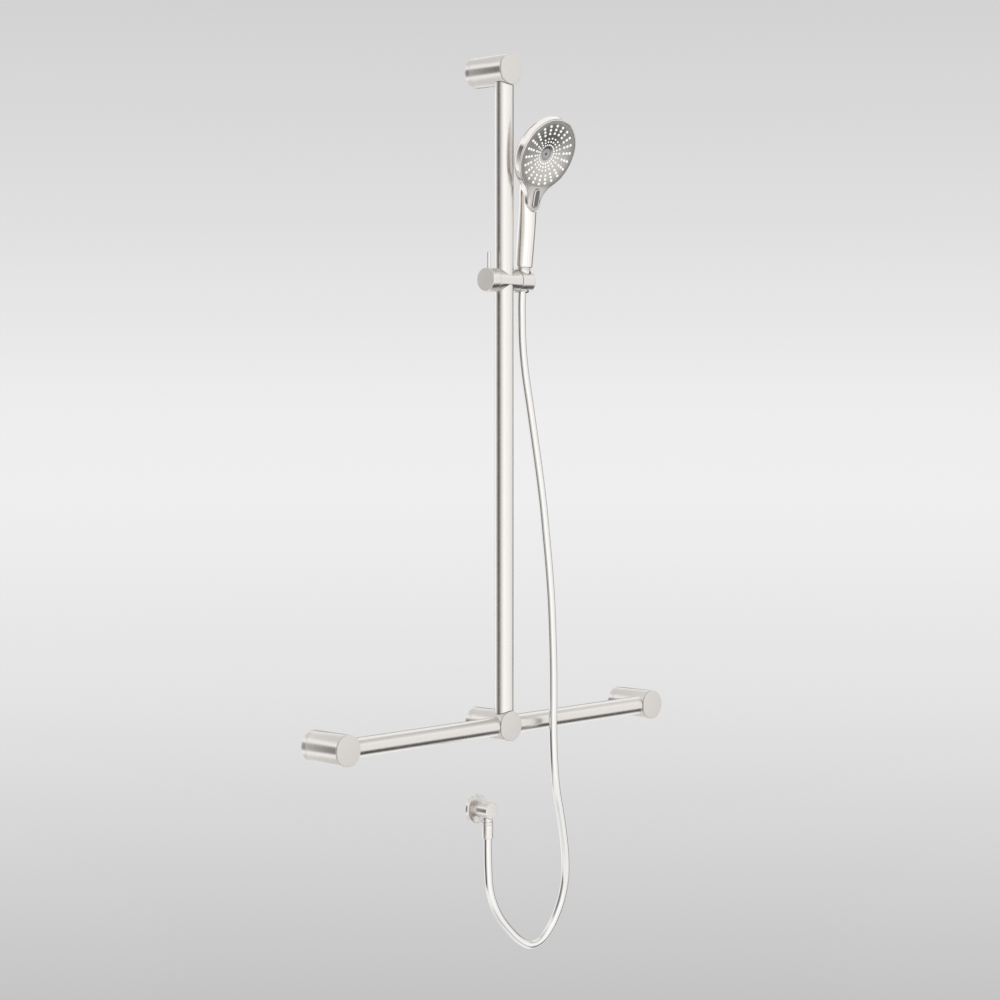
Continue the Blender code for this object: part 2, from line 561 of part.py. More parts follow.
# --- Wall elbow: flange, body with its outlet, check valve, outlet nut and washer ---
elbow_spot = (0, 0, ELBOW_Z)
outlet_spot = (0, ELBOW_OUTLET_Y, ELBOW_Z)
turned("elbow_flange", [
    (FLANGE_RADIUS - 0.0015, 0.0050), (FLANGE_RADIUS, 0.0038), (FLANGE_RADIUS, 0.0),
    (0.0112, 0.0), (0.0112, 0.0050)], BRUSHED, elbow_spot, FROM_WALL, hollow=True)
elbow_body = turned("elbow_body", [
    (0, 0.0380), (ELBOW_RADIUS - 0.0012, 0.0380), (ELBOW_RADIUS, 0.0370), (ELBOW_RADIUS, 0.0140),
    (ELBOW_RADIUS - 0.0012, 0.0130), (0.0122, 0.0130), (0.0122, 0.0053), (0.0108, 0.0053),
    (0.0108, 0.0), (0, 0.0)], BRUSHED, elbow_spot, FROM_WALL)
join(elbow_body, turned("outlet_form", [
    (0, 0.0255), (0.0078, 0.0255), (0.0078, 0.0180), (0.0088, 0.0178), (0.0088, 0.0060),
    (0, 0.0060)], None, outlet_spot, DOWNWARD, steps=32))
cut(elbow_body, drill("elbow_inlet_bore", 0.0050, -0.010, 0.0310, elbow_spot, FROM_WALL, steps=SMALL_STEPS),
    drill("elbow_outlet_bore", 0.0045, 0.0, 0.0400, outlet_spot, DOWNWARD, steps=SMALL_STEPS))
ring("check_valve", 0.0020, 0.0046, 0.0020, 0.0140, WHITE_PLASTIC, elbow_spot, FROM_WALL,
     steps=SMALL_STEPS)
turned("hose_nut_elbow", [
    (OUTLET_NUT_RADIUS - 0.0005, -0.0194), (OUTLET_NUT_RADIUS, -0.0199),
    (OUTLET_NUT_RADIUS, -0.0474), (OUTLET_NUT_RADIUS - 0.0005, -0.0479),
    (HOSE_RADIUS + 0.0004, -0.0479), (HOSE_RADIUS + 0.0004, -0.0281),
    (0.0081, -0.0281), (0.0081, -0.0194)], BRUSHED, outlet_spot, hollow=True, steps=32)
ring("hose_washer_elbow", 0.0045, 0.0077, -0.0278, -0.0258, BLACK_RUBBER, outlet_spot,
     steps=SMALL_STEPS)

# --- Hose: one smooth route, in two lengths that meet face to face ---
hose_points = smooth_points([Vector(point) for point in HOSE_ROUTE], HOSE_STEP)
split = next(i for i, point in enumerate(hose_points) if point.z < HOSE_SPLIT_Z)
tube_along("hose_upper", hose_points[:split + 1], HOSE_RADIUS, HOSE_PLASTIC)
seam = (hose_points[split + 1] - hose_points[split]).normalized() * GAP
tube_along("hose_lower", [hose_points[split] + seam] + hose_points[split + 1:], HOSE_RADIUS,
           HOSE_PLASTIC)
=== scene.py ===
# %% [markdown]
# # Grab rail with a sliding hand shower
#
# The object is an inverted T of nickel-plated tubes on four wall posts. A slider with a lever
# knob rides on the upright, a tilting holder at its right end carries the hand shower, and a hose
# runs down to a wall elbow. The engineering model holds every part at its size and place. This
# script makes finer meshes for the parts that show, and gives every part a finish and light.

# %% Load the engineering model
import json
import math

import bmesh
import bpy
from mathutils import Euler, Matrix, Vector, kdtree


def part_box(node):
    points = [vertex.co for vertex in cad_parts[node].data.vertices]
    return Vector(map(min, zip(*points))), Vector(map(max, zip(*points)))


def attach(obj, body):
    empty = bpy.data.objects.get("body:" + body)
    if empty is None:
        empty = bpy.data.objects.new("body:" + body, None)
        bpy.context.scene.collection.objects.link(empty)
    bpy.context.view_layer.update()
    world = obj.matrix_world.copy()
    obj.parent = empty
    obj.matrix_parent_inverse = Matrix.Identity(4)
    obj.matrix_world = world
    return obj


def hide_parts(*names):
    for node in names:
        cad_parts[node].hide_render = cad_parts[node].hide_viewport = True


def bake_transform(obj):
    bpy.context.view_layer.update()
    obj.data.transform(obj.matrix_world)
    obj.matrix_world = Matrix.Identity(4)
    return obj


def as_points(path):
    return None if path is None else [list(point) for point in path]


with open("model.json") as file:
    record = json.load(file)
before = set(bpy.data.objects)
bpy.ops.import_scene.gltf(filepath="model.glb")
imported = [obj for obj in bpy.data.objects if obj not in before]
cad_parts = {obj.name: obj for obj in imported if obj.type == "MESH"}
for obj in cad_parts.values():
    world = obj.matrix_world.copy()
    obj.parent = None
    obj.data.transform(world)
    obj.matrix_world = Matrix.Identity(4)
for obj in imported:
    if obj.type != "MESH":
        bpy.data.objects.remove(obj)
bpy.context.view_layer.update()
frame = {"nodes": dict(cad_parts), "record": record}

record = frame["record"]
body_of = {node: body for body, nodes in record["behaviour"]["bodies"].items() for node in nodes}
slot_of = {part["node"]: part["material_slot"] for part in record["subparts"]}

# %% [markdown]
# ## The camera
#
# The rail is seen from the left front, slightly from above, through a long lens that keeps its
# tubes nearly parallel. From there the posts' round sides and the shower's face show at once. A
# wide lens close by would lean the long tubes towards each other.

# %% Place the camera
camera_data = bpy.data.cameras.new("camera")
camera_data.lens = 82.77
camera_data.sensor_width = 36.0
camera = bpy.data.objects.new("camera", camera_data)
camera.location = (-2.8317, -2.6989, 0.5521)
camera.rotation_euler = (math.radians(87.47), 0.0, math.radians(-46.984))
bpy.context.scene.collection.objects.link(camera)
bpy.context.scene.camera = camera
print("camera", tuple(camera.location))

# %% [markdown]
# ## From loose points to a piece
#
# Most shaped pieces here are a skin over rows of points: rings along a hose, outlines of the
# shower head, sections of its handle. Blender's curve bevel could make the hose and a lofting tool
# the rest, but one skin function serves them all and keeps control of where the edges run.

# %% Skin, shade and place
SHARP = math.radians(34)


def as_piece(name, work, place=Matrix.Identity(4), sharp=SHARP):
    """Turn a working mesh into an object, shaded smooth up to its sharp edges."""
    bmesh.ops.recalc_face_normals(work, faces=work.faces)
    mesh = bpy.data.meshes.new(name)
    work.to_mesh(mesh)
    work.free()
    mesh.shade_smooth()
    mesh.set_sharp_from_angle(angle=sharp)
    piece = bpy.data.objects.new(name, mesh)
    piece.matrix_world = place
    bpy.context.scene.collection.objects.link(piece)
    return piece


def skin(name, rows, place=Matrix.Identity(4), ends="flat", sharp=SHARP):
    """Cover rows of points, equal in number. Ends are flat caps, a joined loop, or a fan to a tip."""
    work = bmesh.new()
    made = [[work.verts.new(point) for point in row] for row in rows]
    pairs = list(zip(made, made[1:])) + ([(made[-1], made[0])] if ends == "loop" else [])
    for lower, upper in pairs:
        for i in range(len(lower)):
            j = (i + 1) % len(lower)
            work.faces.new((lower[i], lower[j], upper[j], upper[i]))
    if ends == "flat":
        work.faces.new(made[0])
        work.faces.new(made[-1])
    return as_piece(name, work, place, sharp)


def placed(location, turn=(0.0, 0.0, 0.0)):
    """The frame of a piece: its place, and the turn that swings its Z to its axis."""
    return Matrix.Translation(location) @ Euler(turn).to_matrix().to_4x4()


def smooth_rows(rows, steps):
    """Rows of numbers along a smooth curve that passes through the given rows."""
    ends = [2 * rows[0] - rows[1]] + rows + [2 * rows[-1] - rows[-2]]
    dense = []
    for before, here, there, after in zip(ends, ends[1:], ends[2:], ends[3:]):
        for k in range(steps):
            t = k / steps
            dense.append(0.5 * (2 * here + (there - before) * t
                                + (2 * before - 5 * here + 4 * there - after) * t ** 2
                                + (3 * here - before - 3 * there + after) * t ** 3))
    return dense + [rows[-1]]


FROM_WALL = (math.pi / 2, 0.0, 0.0)
RIGHTWARD = (0.0, math.pi / 2, 0.0)
print("helpers for skins are ready")

# %% [markdown]
# ## The hose
#
# A shower hose is a 14 mm tube that hangs from the holder, swings forward of the rail and loops
# back up to the elbow. Its route is a short list of points with a smooth curve through them. A
# curve object with a bevel would give the tube directly, but the slider and the holder pull on it
# when they move. It is made as three mesh tubes that share their end rings.

# %% Route, rings and three stretches
HOSE_RADIUS = 0.0070
RING_STEP = 0.004
RING_SIDES = 24
HOSE_ROUTE = [
    (0.0455, -0.0673, 0.7580), (0.0455, -0.0649, 0.7330), (0.0454, -0.0641, 0.7100),
    (0.0452, -0.0646, 0.6860), (0.0450, -0.0664, 0.6420), (0.0480, -0.0700, 0.5930),
    (0.0560, -0.0740, 0.5360),
    (0.0630, -0.0780, 0.4820), (0.0700, -0.0820, 0.4270), (0.0755, -0.0860, 0.3730),
    (0.0800, -0.0890, 0.3180), (0.0840, -0.0920, 0.2630), (0.0875, -0.0940, 0.2080),
    (0.0885, -0.0960, 0.1540), (0.0885, -0.0980, 0.0990), (0.0880, -0.0990, 0.0440),
    (0.0870, -0.0995, -0.0140), (0.0890, -0.1000, -0.0690), (0.0950, -0.1000, -0.1180),
    (0.1055, -0.0990, -0.1580), (0.1165, -0.0970, -0.2010), (0.1250, -0.0940, -0.2410),
    (0.1290, -0.0900, -0.2770), (0.1270, -0.0850, -0.3090), (0.1200, -0.0800, -0.3360),
    (0.1085, -0.0740, -0.3620), (0.0920, -0.0670, -0.3820), (0.0720, -0.0600, -0.3880),
    (0.0530, -0.0530, -0.3780), (0.0340, -0.0460, -0.3580), (0.0180, -0.0400, -0.3360),
    (0.0070, -0.0350, -0.3110), (0.0010, -0.0310, -0.2830), (0.0000, -0.0290, -0.2510),
    (0.0000, -0.0280, -0.2210), (0.0000, -0.0280, -0.2000), (0.0000, -0.0280, -0.1850),
]


def run_along(points, step):
    """Keep points of a dense line about one step apart, with both ends."""
    kept, run = [points[0]], 0.0
    for here, there in zip(points, points[1:]):
        run += (there - here).length
        if run >= step:
            kept.append(there)
            run = 0.0
    kept[-1] = points[-1]
    return kept


def rings_along(points, radius, sides):
    """A ring of points round each point of the line, carried along without twist."""
    side = Vector((1.0, 0.0, 0.0))
    rings = []
    for before, here, after in zip([points[0]] + points, points, points[1:] + [points[-1]]):
        along = (after - before).normalized()
        side = (side - along * side.dot(along)).normalized()
        across = along.cross(side)
        rings.append([here + radius * (math.cos(math.tau * k / sides) * side
                                       + math.sin(math.tau * k / sides) * across)
                      for k in range(sides)])
    return rings


def length_of(points):
    return sum((there - here).length for here, there in zip(points, points[1:]))


hose_line = run_along(smooth_rows([Vector(point) for point in HOSE_ROUTE], 24), RING_STEP)
hose_rings = rings_along(hose_line, HOSE_RADIUS, RING_SIDES)
holder_end = next(i for i, point in enumerate(hose_line) if point.z < 0.667)
slider_end = next(i for i, point in enumerate(hose_line) if point.z < 0.570)
nut_bottom = Vector(HOSE_ROUTE[1])


def hose_stretch(name, first, last, exit_point, a, b, start, end, *nodes):
    """One stretch of the hose between two points. Bodies a and b are not used."""
    piece = skin(name, hose_rings[first:last + 1])
    path = hose_line[first:last + 1]
    marks = piece.data.attributes.new("along_hose", "FLOAT", "POINT")
    run = length_of(hose_line[:first + 1])
    values = []
    for k, point in enumerate(path):
        run += (point - path[k - 1]).length if k else 0.0
        values += [run + 0.0016 * i / RING_SIDES for i in range(RING_SIDES)]
    marks.data.foreach_set("value", values)
    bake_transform(piece)
    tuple(start)
    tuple(end)
    if nodes:
        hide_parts(*nodes)
    length_of(path)
    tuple(exit_point)
    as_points(path)
    return piece


slack_reach = Vector((0.0, 3.0, -1.0)) * 0.0886
hose_pieces = [
    hose_stretch("hose_top", 0, holder_end, nut_bottom, "hose_end", "holder",
                 nut_bottom, hose_line[holder_end], "hose_upper"),
    hose_stretch("hose_middle", holder_end, slider_end, hose_line[holder_end], "holder", "slider",
                 hose_line[holder_end], hose_line[slider_end]),
    hose_stretch("hose_bottom", slider_end, len(hose_line) - 1, hose_line[slider_end], "slider",
                 "rail_frame", hose_line[slider_end], hose_line[slider_end] + slack_reach,
                 "hose_lower"),
]
print("hose", round(length_of(hose_line), 3), "m in", len(hose_line), "rings")

# %% [markdown]
# ## Writing shader maths as sums
#
# A finish is a small network of nodes, usually wired by hand in the Shader Editor. In a script the
# wires hide the idea, so a node's output is wrapped in a class that knows +, - and *:
# `0.3 + 0.1 * grain` adds its own Math nodes. Every other node comes from one call that takes its
# type, its settings and its inputs.

# %% The two classes behind every finish
class Value:
    """One node output that can stand in a Python sum."""

    def __init__(self, sheet, socket):
        self.sheet, self.socket = sheet, socket

    def maths(self, operation, first, second):
        return self.sheet.node("ShaderNodeMath", {"operation": operation}, [first, second])

    def __add__(self, other):
        return self.maths("ADD", self, other)

    def __sub__(self, other):
        return self.maths("SUBTRACT", self, other)

    def __rsub__(self, other):
        return self.maths("SUBTRACT", other, self)

    def __mul__(self, other):
        return self.maths("MULTIPLY", self, other)

    __radd__ = __add__
    __rmul__ = __mul__


class Sheet:
    """A node tree that is written from top to bottom."""

    def __init__(self, tree):
        self.tree = tree
        tree.nodes.clear()

    def feed(self, socket, value):
        if isinstance(value, Value):
            self.tree.links.new(value.socket, socket)
        else:
            socket.default_value = value

    def node(self, kind, settings=None, inputs=(), output=0):
        made = self.tree.nodes.new(kind)
        for key, value in (settings or {}).items():
            if key == "stops":
                self.set_stops(made.color_ramp, value)
            else:
                setattr(made, key, value)
        pairs = inputs.items() if isinstance(inputs, dict) else enumerate(inputs)
        for key, value in pairs:
            self.feed(made.inputs[key], value)
        return Value(self, made.outputs[output]) if made.outputs else None

    @staticmethod
    def set_stops(ramp, stops):
        for _ in range(len(stops) - 2):
            ramp.elements.new(0.5)
        for element, (position, level) in zip(ramp.elements, stops):
            element.position = position
            element.color = (level, level, level, 1.0)

    def mix(self, share, first, second):
        """Between two colours, by a share from 0 to 1."""
        mixed = self.node("ShaderNodeMix", {"data_type": "RGBA"}, {"Factor": share}, output=2)
        self.feed(mixed.socket.node.inputs[6], first)
        self.feed(mixed.socket.node.inputs[7], second)
        return mixed


print("a Value adds its own Math nodes")

# %% [markdown]
# ## Patterns that the finishes share
#
# Metal that is brushed on a lathe or a belt carries fine lines round its axis. They are noise,
# squeezed hard along the Z axis of the piece's own frame. Moulded and plated parts carry an even
# speckle instead. Both use the piece's own coordinates, so they stay put when the piece moves, and
# they need no image.

# %% Lines and speckle
def own_coordinates(sheet):
    return sheet.node("ShaderNodeTexCoord", output="Object")


def noise(sheet, stretch, detail=2.0):
    """Noise from 0 to 1 on the piece's own coordinates, stretched by three scales per metre."""
    spot = sheet.node("ShaderNodeVectorMath", {"operation": "MULTIPLY"},
                      [own_coordinates(sheet), stretch])
    return sheet.node("ShaderNodeTexNoise", {}, {"Vector": spot, "Scale": 1.0, "Detail": detail})


def relief(sheet, height, depth, strength=1.0):
    """A bump whose full height is a depth in metres."""
    return sheet.node("ShaderNodeBump", {}, {"Strength": strength, "Distance": depth,
                                             "Height": height})


ROUND_LINES = (60.0, 60.0, 5200.0)
SPECKLE = (2600.0, 2600.0, 2600.0)
PATCHES = (45.0, 45.0, 45.0)
print("lines every", round(1000 / ROUND_LINES[2], 2), "mm")

# %% [markdown]
# ## The finishes
#
# Each finish is one Principled shader. What varies over a surface feeds its colour, roughness or
# normal, and what is the same all over is a plain number. Brushed metal also stretches its
# highlights across the brush lines. The shader's anisotropy does that: its default direction runs
# round the Z axis of the piece, and a quarter turn lays it along the axis.

# %% A finish from a recipe
def finish(name, paint, **fixed):
    """A material: paint(sheet) gives the inputs that vary, and fixed holds the plain numbers."""
    material = bpy.data.materials.new(name)
    material.use_nodes = True
    sheet = Sheet(material.node_tree)
    shader = sheet.node("ShaderNodeBsdfPrincipled", {}, {**fixed, **paint(sheet)}, output="BSDF")
    sheet.node("ShaderNodeOutputMaterial", {}, [shader])
    return material


def lined_metal(light, dark, roughness, depth, lines=ROUND_LINES):
    """Inputs for metal with fine lines, in two close tones."""
    def paint(sheet):
        grain = noise(sheet, lines, 3.0)
        wear = noise(sheet, PATCHES)
        return {"Base Color": sheet.mix(grain, dark, light),
                "Roughness": roughness + 0.10 * (grain - 0.5) + 0.05 * (wear - 0.5),
                "Normal": relief(sheet, grain, depth)}
    return paint


def speckled(light, dark, roughness, depth, grains=SPECKLE):
    """Inputs for a cast, moulded or plated surface with a fine even texture."""
    def paint(sheet):
        grain = noise(sheet, grains)
        wear = noise(sheet, PATCHES)
        return {"Base Color": sheet.mix(0.5 * grain + 0.5 * wear, dark, light),
                "Roughness": roughness + 0.06 * (grain - 0.5) + 0.06 * (wear - 0.5),
                "Normal": relief(sheet, grain, depth)}
    return paint


def tone(red, green, blue):
    return (red, green, blue, 1.0)


print("finish() turns a recipe into a material")

# %% [markdown]
# ## Nickel, brass and steel
#
# The rails, posts and slider are satin nickel with a warm tint. Their flat ends are turned, with
# no long lines. The hand shower is the same plating, polished nearly to a mirror. Screws and the
# spindle are plain steel, and the connector inside the handle is brass.

# %% Metals
NICKEL = (tone(0.70, 0.675, 0.65), tone(0.65, 0.625, 0.60))
brushed_nickel = finish(
    "brushed_nickel", lined_metal(*NICKEL, 0.26, 0.000003),
    Metallic=1.0, Anisotropic=0.65, **{"Anisotropic Rotation": 0.25})
turned_nickel = finish("turned_nickel", lined_metal(*NICKEL, 0.60, 0.000005), Metallic=1.0)
polished_nickel = finish(
    "polished_nickel",
    speckled(tone(0.74, 0.708, 0.682), tone(0.71, 0.68, 0.655), 0.085, 0.0000003), Metallic=1.0)
steel = finish(
    "screw_steel",
    lined_metal(tone(0.58, 0.58, 0.57), tone(0.46, 0.46, 0.46), 0.34, 0.000006), Metallic=1.0)
brass = finish(
    "brass",
    lined_metal(tone(0.78, 0.60, 0.32), tone(0.66, 0.49, 0.23), 0.30, 0.000006), Metallic=1.0)
print("metals:", brushed_nickel.name, polished_nickel.name, steel.name, brass.name)

# %% [markdown]
# ## Face, plastics, rubber and the hose's sheath
#
# The spray face is plated plastic with a satin grey finish, and soft white silicone nozzles stand
# through it. Inner parts are moulded in grey and white plastic, and the washers are black rubber.
# The hose is a silvery winding under a smooth sheath: a metallic colour with faint rings.

# %% Non-metals
face_grey = finish(
    "face_grey",
    speckled(tone(0.54, 0.52, 0.50), tone(0.49, 0.47, 0.45), 0.26, 0.000003),
    Metallic=1.0)
PLAIN = {  # light tone, dark tone, roughness, depth of the texture
    "white_rubber": (tone(0.92, 0.92, 0.90), tone(0.86, 0.86, 0.84), 0.50, 0.00001),
    # black_rubber is real on the washers and painted shade on the holder's lining and the jet's bore.
    "black_rubber": (tone(0.045, 0.045, 0.045), tone(0.025, 0.025, 0.025), 0.65, 0.00002),
    "grey_plastic": (tone(0.33, 0.33, 0.33), tone(0.28, 0.28, 0.28), 0.38, 0.00001),
    # The pad's dark grey is painted shade for the hollow of a dished button top.
    "dark_pad": (tone(0.12, 0.12, 0.12), tone(0.08, 0.08, 0.08), 0.35, 0.00001),
    "white_plastic": (tone(0.84, 0.84, 0.81), tone(0.76, 0.76, 0.74), 0.40, 0.00001),
}
plain = {name: finish(name, speckled(*recipe), Metallic=0.0) for name, recipe in PLAIN.items()}


def wound_silver(sheet):
    """Silver rings under the sheath, one every 1.6 mm, with a little sparkle."""
    along = sheet.node("ShaderNodeAttribute", {"attribute_name": "along_hose"}, output="Fac")
    rings = sheet.node("ShaderNodeMath", {"operation": "PINGPONG"}, [along, 0.0008]) * 1250.0
    sparkle = noise(sheet, (900.0, 900.0, 900.0))
    return {"Base Color": sheet.mix(0.6 * rings + 0.4 * sparkle, tone(0.62, 0.61, 0.595),
                                    tone(0.74, 0.73, 0.715)),
            "Roughness": 0.10 + 0.06 * sparkle,
            "Normal": relief(sheet, rings, 0.00001)}


silver_hose = finish("silver_hose", wound_silver, Metallic=1.0)
for stretch in hose_pieces:
    stretch.data.materials.append(silver_hose)
finish_of_slot = {
    "brushed_nickel": brushed_nickel, "polished_nickel": polished_nickel, "face_grey": face_grey,
    "screw_steel": steel, "brass": brass, "silver_hose": silver_hose, **plain}
print(len(finish_of_slot), "finishes, one for each material slot and one for the button's pad")

# %% [markdown]
# ## Turned parts, rounded corners and cuts
#
# Posts, caps, knobs and nuts are lathe work: a profile that turns about an axis, which is the
# piece's own Z. Each corner of a profile gets a small radius, because a real edge always catches
# a line of light. Where one part passes through another, the cutter's shape is taken out with a
# Boolean, and the result is baked at once so that the piece stays a plain mesh.

# %% Lathe, Boolean and edge tools
def rounded(corners, closed):
    """Points of a profile whose corners (radius, height, rounding) become short arcs."""
    points = []
    count = len(corners)
    for i, corner in enumerate(corners):
        spot = Vector(corner[:2])
        rounding = corner[2] if len(corner) > 2 else 0.0
        if not rounding or (not closed and i in (0, count - 1)):
            points.append(spot)
            continue
        before, after = Vector(corners[i - 1][:2]), Vector(corners[(i + 1) % count][:2])
        first = spot + (before - spot).normalized() * min(rounding, 0.45 * (before - spot).length)
        last = spot + (after - spot).normalized() * min(rounding, 0.45 * (after - spot).length)
        for k in range(6):
            t = k / 5
            points.append((1 - t) ** 2 * first + 2 * t * (1 - t) * spot + t ** 2 * last)
    return points


def turned(name, corners, place, closed=False, steps=96):
    """A profile turned about the piece's Z axis. Closed profiles make rings and sleeves."""
    work = bmesh.new()
    line = [work.verts.new((radius, 0.0, height)) for radius, height in rounded(corners, closed)]
    pairs = list(zip(line, line[1:])) + ([(line[-1], line[0])] if closed else [])
    edges = [work.edges.new(pair) for pair in pairs]
    bmesh.ops.spin(work, geom=line + edges, cent=(0, 0, 0), axis=(0, 0, 1), dvec=(0, 0, 0),
                   angle=math.tau, steps=steps, use_merge=True)
    bmesh.ops.remove_doubles(work, verts=work.verts, dist=0.000001)
    return as_piece(name, work, place)


def bar(name, radius, bottom, top, place, steps=64):
    """A plain round cutter between two heights."""
    return turned(name, [(0, bottom), (radius, bottom), (radius, top), (0, top)], place, steps=steps)


def bake(piece):
    """Replace the mesh by what its modifiers make of it."""
    graph = bpy.context.evaluated_depsgraph_get()
    mesh = bpy.data.meshes.new_from_object(piece.evaluated_get(graph))
    piece.modifiers.clear()
    piece.data = mesh
    mesh.shade_smooth()
    mesh.set_sharp_from_angle(angle=SHARP)


def carve(piece, *others, how="DIFFERENCE", edge=0.0, folds=False):
    """Cut, join or keep the overlap with other shapes, which are used up. Edge bevels the result,
    and folds lets the shapes cross themselves."""
    for other in others:
        modifier = piece.modifiers.new("carve", "BOOLEAN")
        modifier.operation = how
        modifier.object = other
        modifier.material_mode = "TRANSFER"
        modifier.use_self = folds
    if edge:
        bevel = piece.modifiers.new("edge", "BEVEL")
        bevel.width = edge
        bevel.segments = 2
        bevel.limit_method = "ANGLE"
        bevel.angle_limit = SHARP
        bevel.use_clamp_overlap = True
    bake(piece)
    for other in others:
        bpy.data.objects.remove(other, do_unlink=True)
    return piece


LINED_SLOTS = ("brushed_nickel", "screw_steel", "brass")  # only their lines need the own frame


def dress(piece, *nodes, look=None, stands_in=True):
    """Give the piece the finish, body and slot of the engineering parts that it stands for."""
    slot = slot_of[nodes[0]]
    if slot not in LINED_SLOTS:
        piece.data.transform(piece.matrix_world)
        piece.matrix_world = Matrix.Identity(4)
    piece.data.materials.clear()
    piece.data.materials.append(look or finish_of_slot[slot])
    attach(piece, body_of[nodes[0]])
    if stands_in:
        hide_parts(*nodes)
    return piece


print("lathe, Boolean and edge tools are ready")

# %% [markdown]
# ## Wall posts
#
# Each post is a thick sleeve that slides over a plate screwed to the wall. A flat cap closes its
# front, with a fine groove between cap and sleeve, and a grub screw locks it. Each of the three is
# a turned profile, and Booleans drill the holes. One loop makes all four posts.

# %% Sleeves, caps and plates
PLACES = ("center", "top", "left", "right")
GAP = 0.0003
GRUB_HOLE = 0.0028
SCREW_HOLE = 0.0027


def middle(node):
    low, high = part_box(node)
    return (low + high) / 2


for place_name in PLACES:
    low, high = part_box(f"post_{place_name}")
    post_radius = (high.x - low.x) / 2
    sleeve_back, sleeve_front = -high.y, -low.y
    cap_front = -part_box(f"cap_{place_name}")[0].y
    spigot = -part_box(f"wall_plate_{place_name}")[0].y
    bore = post_radius - 0.005
    foot = placed(((low.x + high.x) / 2, 0.0, (low.z + high.z) / 2), FROM_WALL)
    grub_spot = middle(f"grub_screw_{place_name}")

    sleeve = turned(f"post_sleeve_{place_name}", [
        (post_radius, sleeve_back, 0.0004), (post_radius, sleeve_front, 0.0005), (bore, sleeve_front),
        (bore, sleeve_back)], foot, closed=True)
    carve(sleeve, bar("hole", GRUB_HOLE, -0.008, 0.008, placed(grub_spot), 32))
    dress(sleeve, f"post_{place_name}")

    cap = turned(f"post_cap_{place_name}", [
        (0, cap_front), (post_radius - 0.0003, cap_front, 0.0011),
        (post_radius - 0.0003, sleeve_front + 0.0009, 0.0003),
        (post_radius - 0.0013, sleeve_front + GAP),
        (bore - 0.0005, sleeve_front + GAP), (bore - 0.0005, sleeve_front - 0.005),
        (0, sleeve_front - 0.005)], foot)
    dress(cap, f"cap_{place_name}", look=turned_nickel)

    plate = turned(f"post_plate_{place_name}", [
        (0, spigot), (bore - GAP, spigot, 0.0006), (bore - GAP, sleeve_back - GAP),
        (post_radius, sleeve_back - GAP, 0.0004), (post_radius, 0.0, 0.0003), (0, 0.0)], foot)
    screws = [middle(f"wall_screw_{place_name}_{side}") for side in ("left", "right")]
    carve(plate, bar("hole", GRUB_HOLE, -0.008, 0.008, placed(grub_spot), 32),
          *[bar("hole", SCREW_HOLE, -0.03, 0.03, placed(spot, FROM_WALL), 32) for spot in screws])
    dress(plate, f"wall_plate_{place_name}")
print("posts", round(2000 * post_radius, 1), "mm across and", round(1000 * cap_front, 1), "mm deep")

# %% [markdown]
# ## Rails
#
# The rails are 32 mm tubes whose ends are coped, cut to a saddle that hugs the round post. A
# Boolean with the post would cut them, but the saddle has a simple formula: a point at a distance
# x from the tube's middle ends where the post's circle is, sqrt(reach² - x²). So each tube is a
# skin whose end rings follow that formula, with a tiny chamfer at the joint.

# %% Coped tubes
RAIL_WALL = 0.0018
RAIL_CHAMFER = 0.0006
RAIL_SIDES = 96


def coped_tube(name, place, length, radius, reach):
    """A tube between the middles of two posts, cut back to where their circles are."""
    def ring(ring_radius, offset, far):
        points = []
        for k in range(RAIL_SIDES):
            spot = Vector((math.cos(math.tau * k / RAIL_SIDES), math.sin(math.tau * k / RAIL_SIDES), 0))
            spot *= ring_radius
            saddle = math.sqrt(reach ** 2 - spot.x ** 2) + offset
            spot.z = length - saddle if far else saddle
            points.append(spot)
        return points

    inner, skimmed = radius - RAIL_WALL, radius - RAIL_CHAMFER
    rows = [ring(inner, 0.0, False), ring(skimmed, 0.0, False), ring(radius, RAIL_CHAMFER, False),
            ring(radius, RAIL_CHAMFER, True), ring(skimmed, 0.0, True), ring(inner, 0.0, True)]
    return skin(name, rows, place, ends="loop")


upright_low, upright_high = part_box("vertical_rail")
rail_radius = (upright_high.x - upright_low.x) / 2
rail_y = (upright_high.y + upright_low.y) / 2
reach_right, reach_left = middle("post_right").x, middle("post_left").x
for name, place, length, node in (
        ("upright_tube", placed((0, rail_y, 0)), middle("post_top").z, "vertical_rail"),
        ("level_tube_left", placed((reach_left, rail_y, 0), RIGHTWARD), -reach_left,
         "horizontal_rail_left"),
        ("level_tube_right", placed((0, rail_y, 0), RIGHTWARD), reach_right, "horizontal_rail_right")):
    dress(coped_tube(name, place, length, rail_radius, post_radius + GAP), node)
print("rails", round(2000 * rail_radius, 1), "mm across")

# %% [markdown]
# ## Slider, knob and lever
#
# The slider is a round body across the rail. Its left end is a knob with a short lever, and a
# quarter turn of it moves a shoe against the rail. The rail's bore through the body is a Boolean,
# and a bevel on its mouth gives the thin bright edge of a machined opening.

# %% Clamp and body
SHOE_POCKET, SPINDLE_BORE, AXLE_BORE = 0.0063, 0.0033, 0.0053
LEVER_RADIUS, LEVER_HOLE = 0.0032, 0.0034
body_low, body_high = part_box("slider_body")
slider_axis = Vector((0.0, (body_low.y + body_high.y) / 2, (body_low.z + body_high.z) / 2))
slider_radius = (body_high.z - body_low.z) / 2
along_slider = placed(slider_axis, RIGHTWARD)
rail_bore = placed((0, rail_y, slider_axis.z))

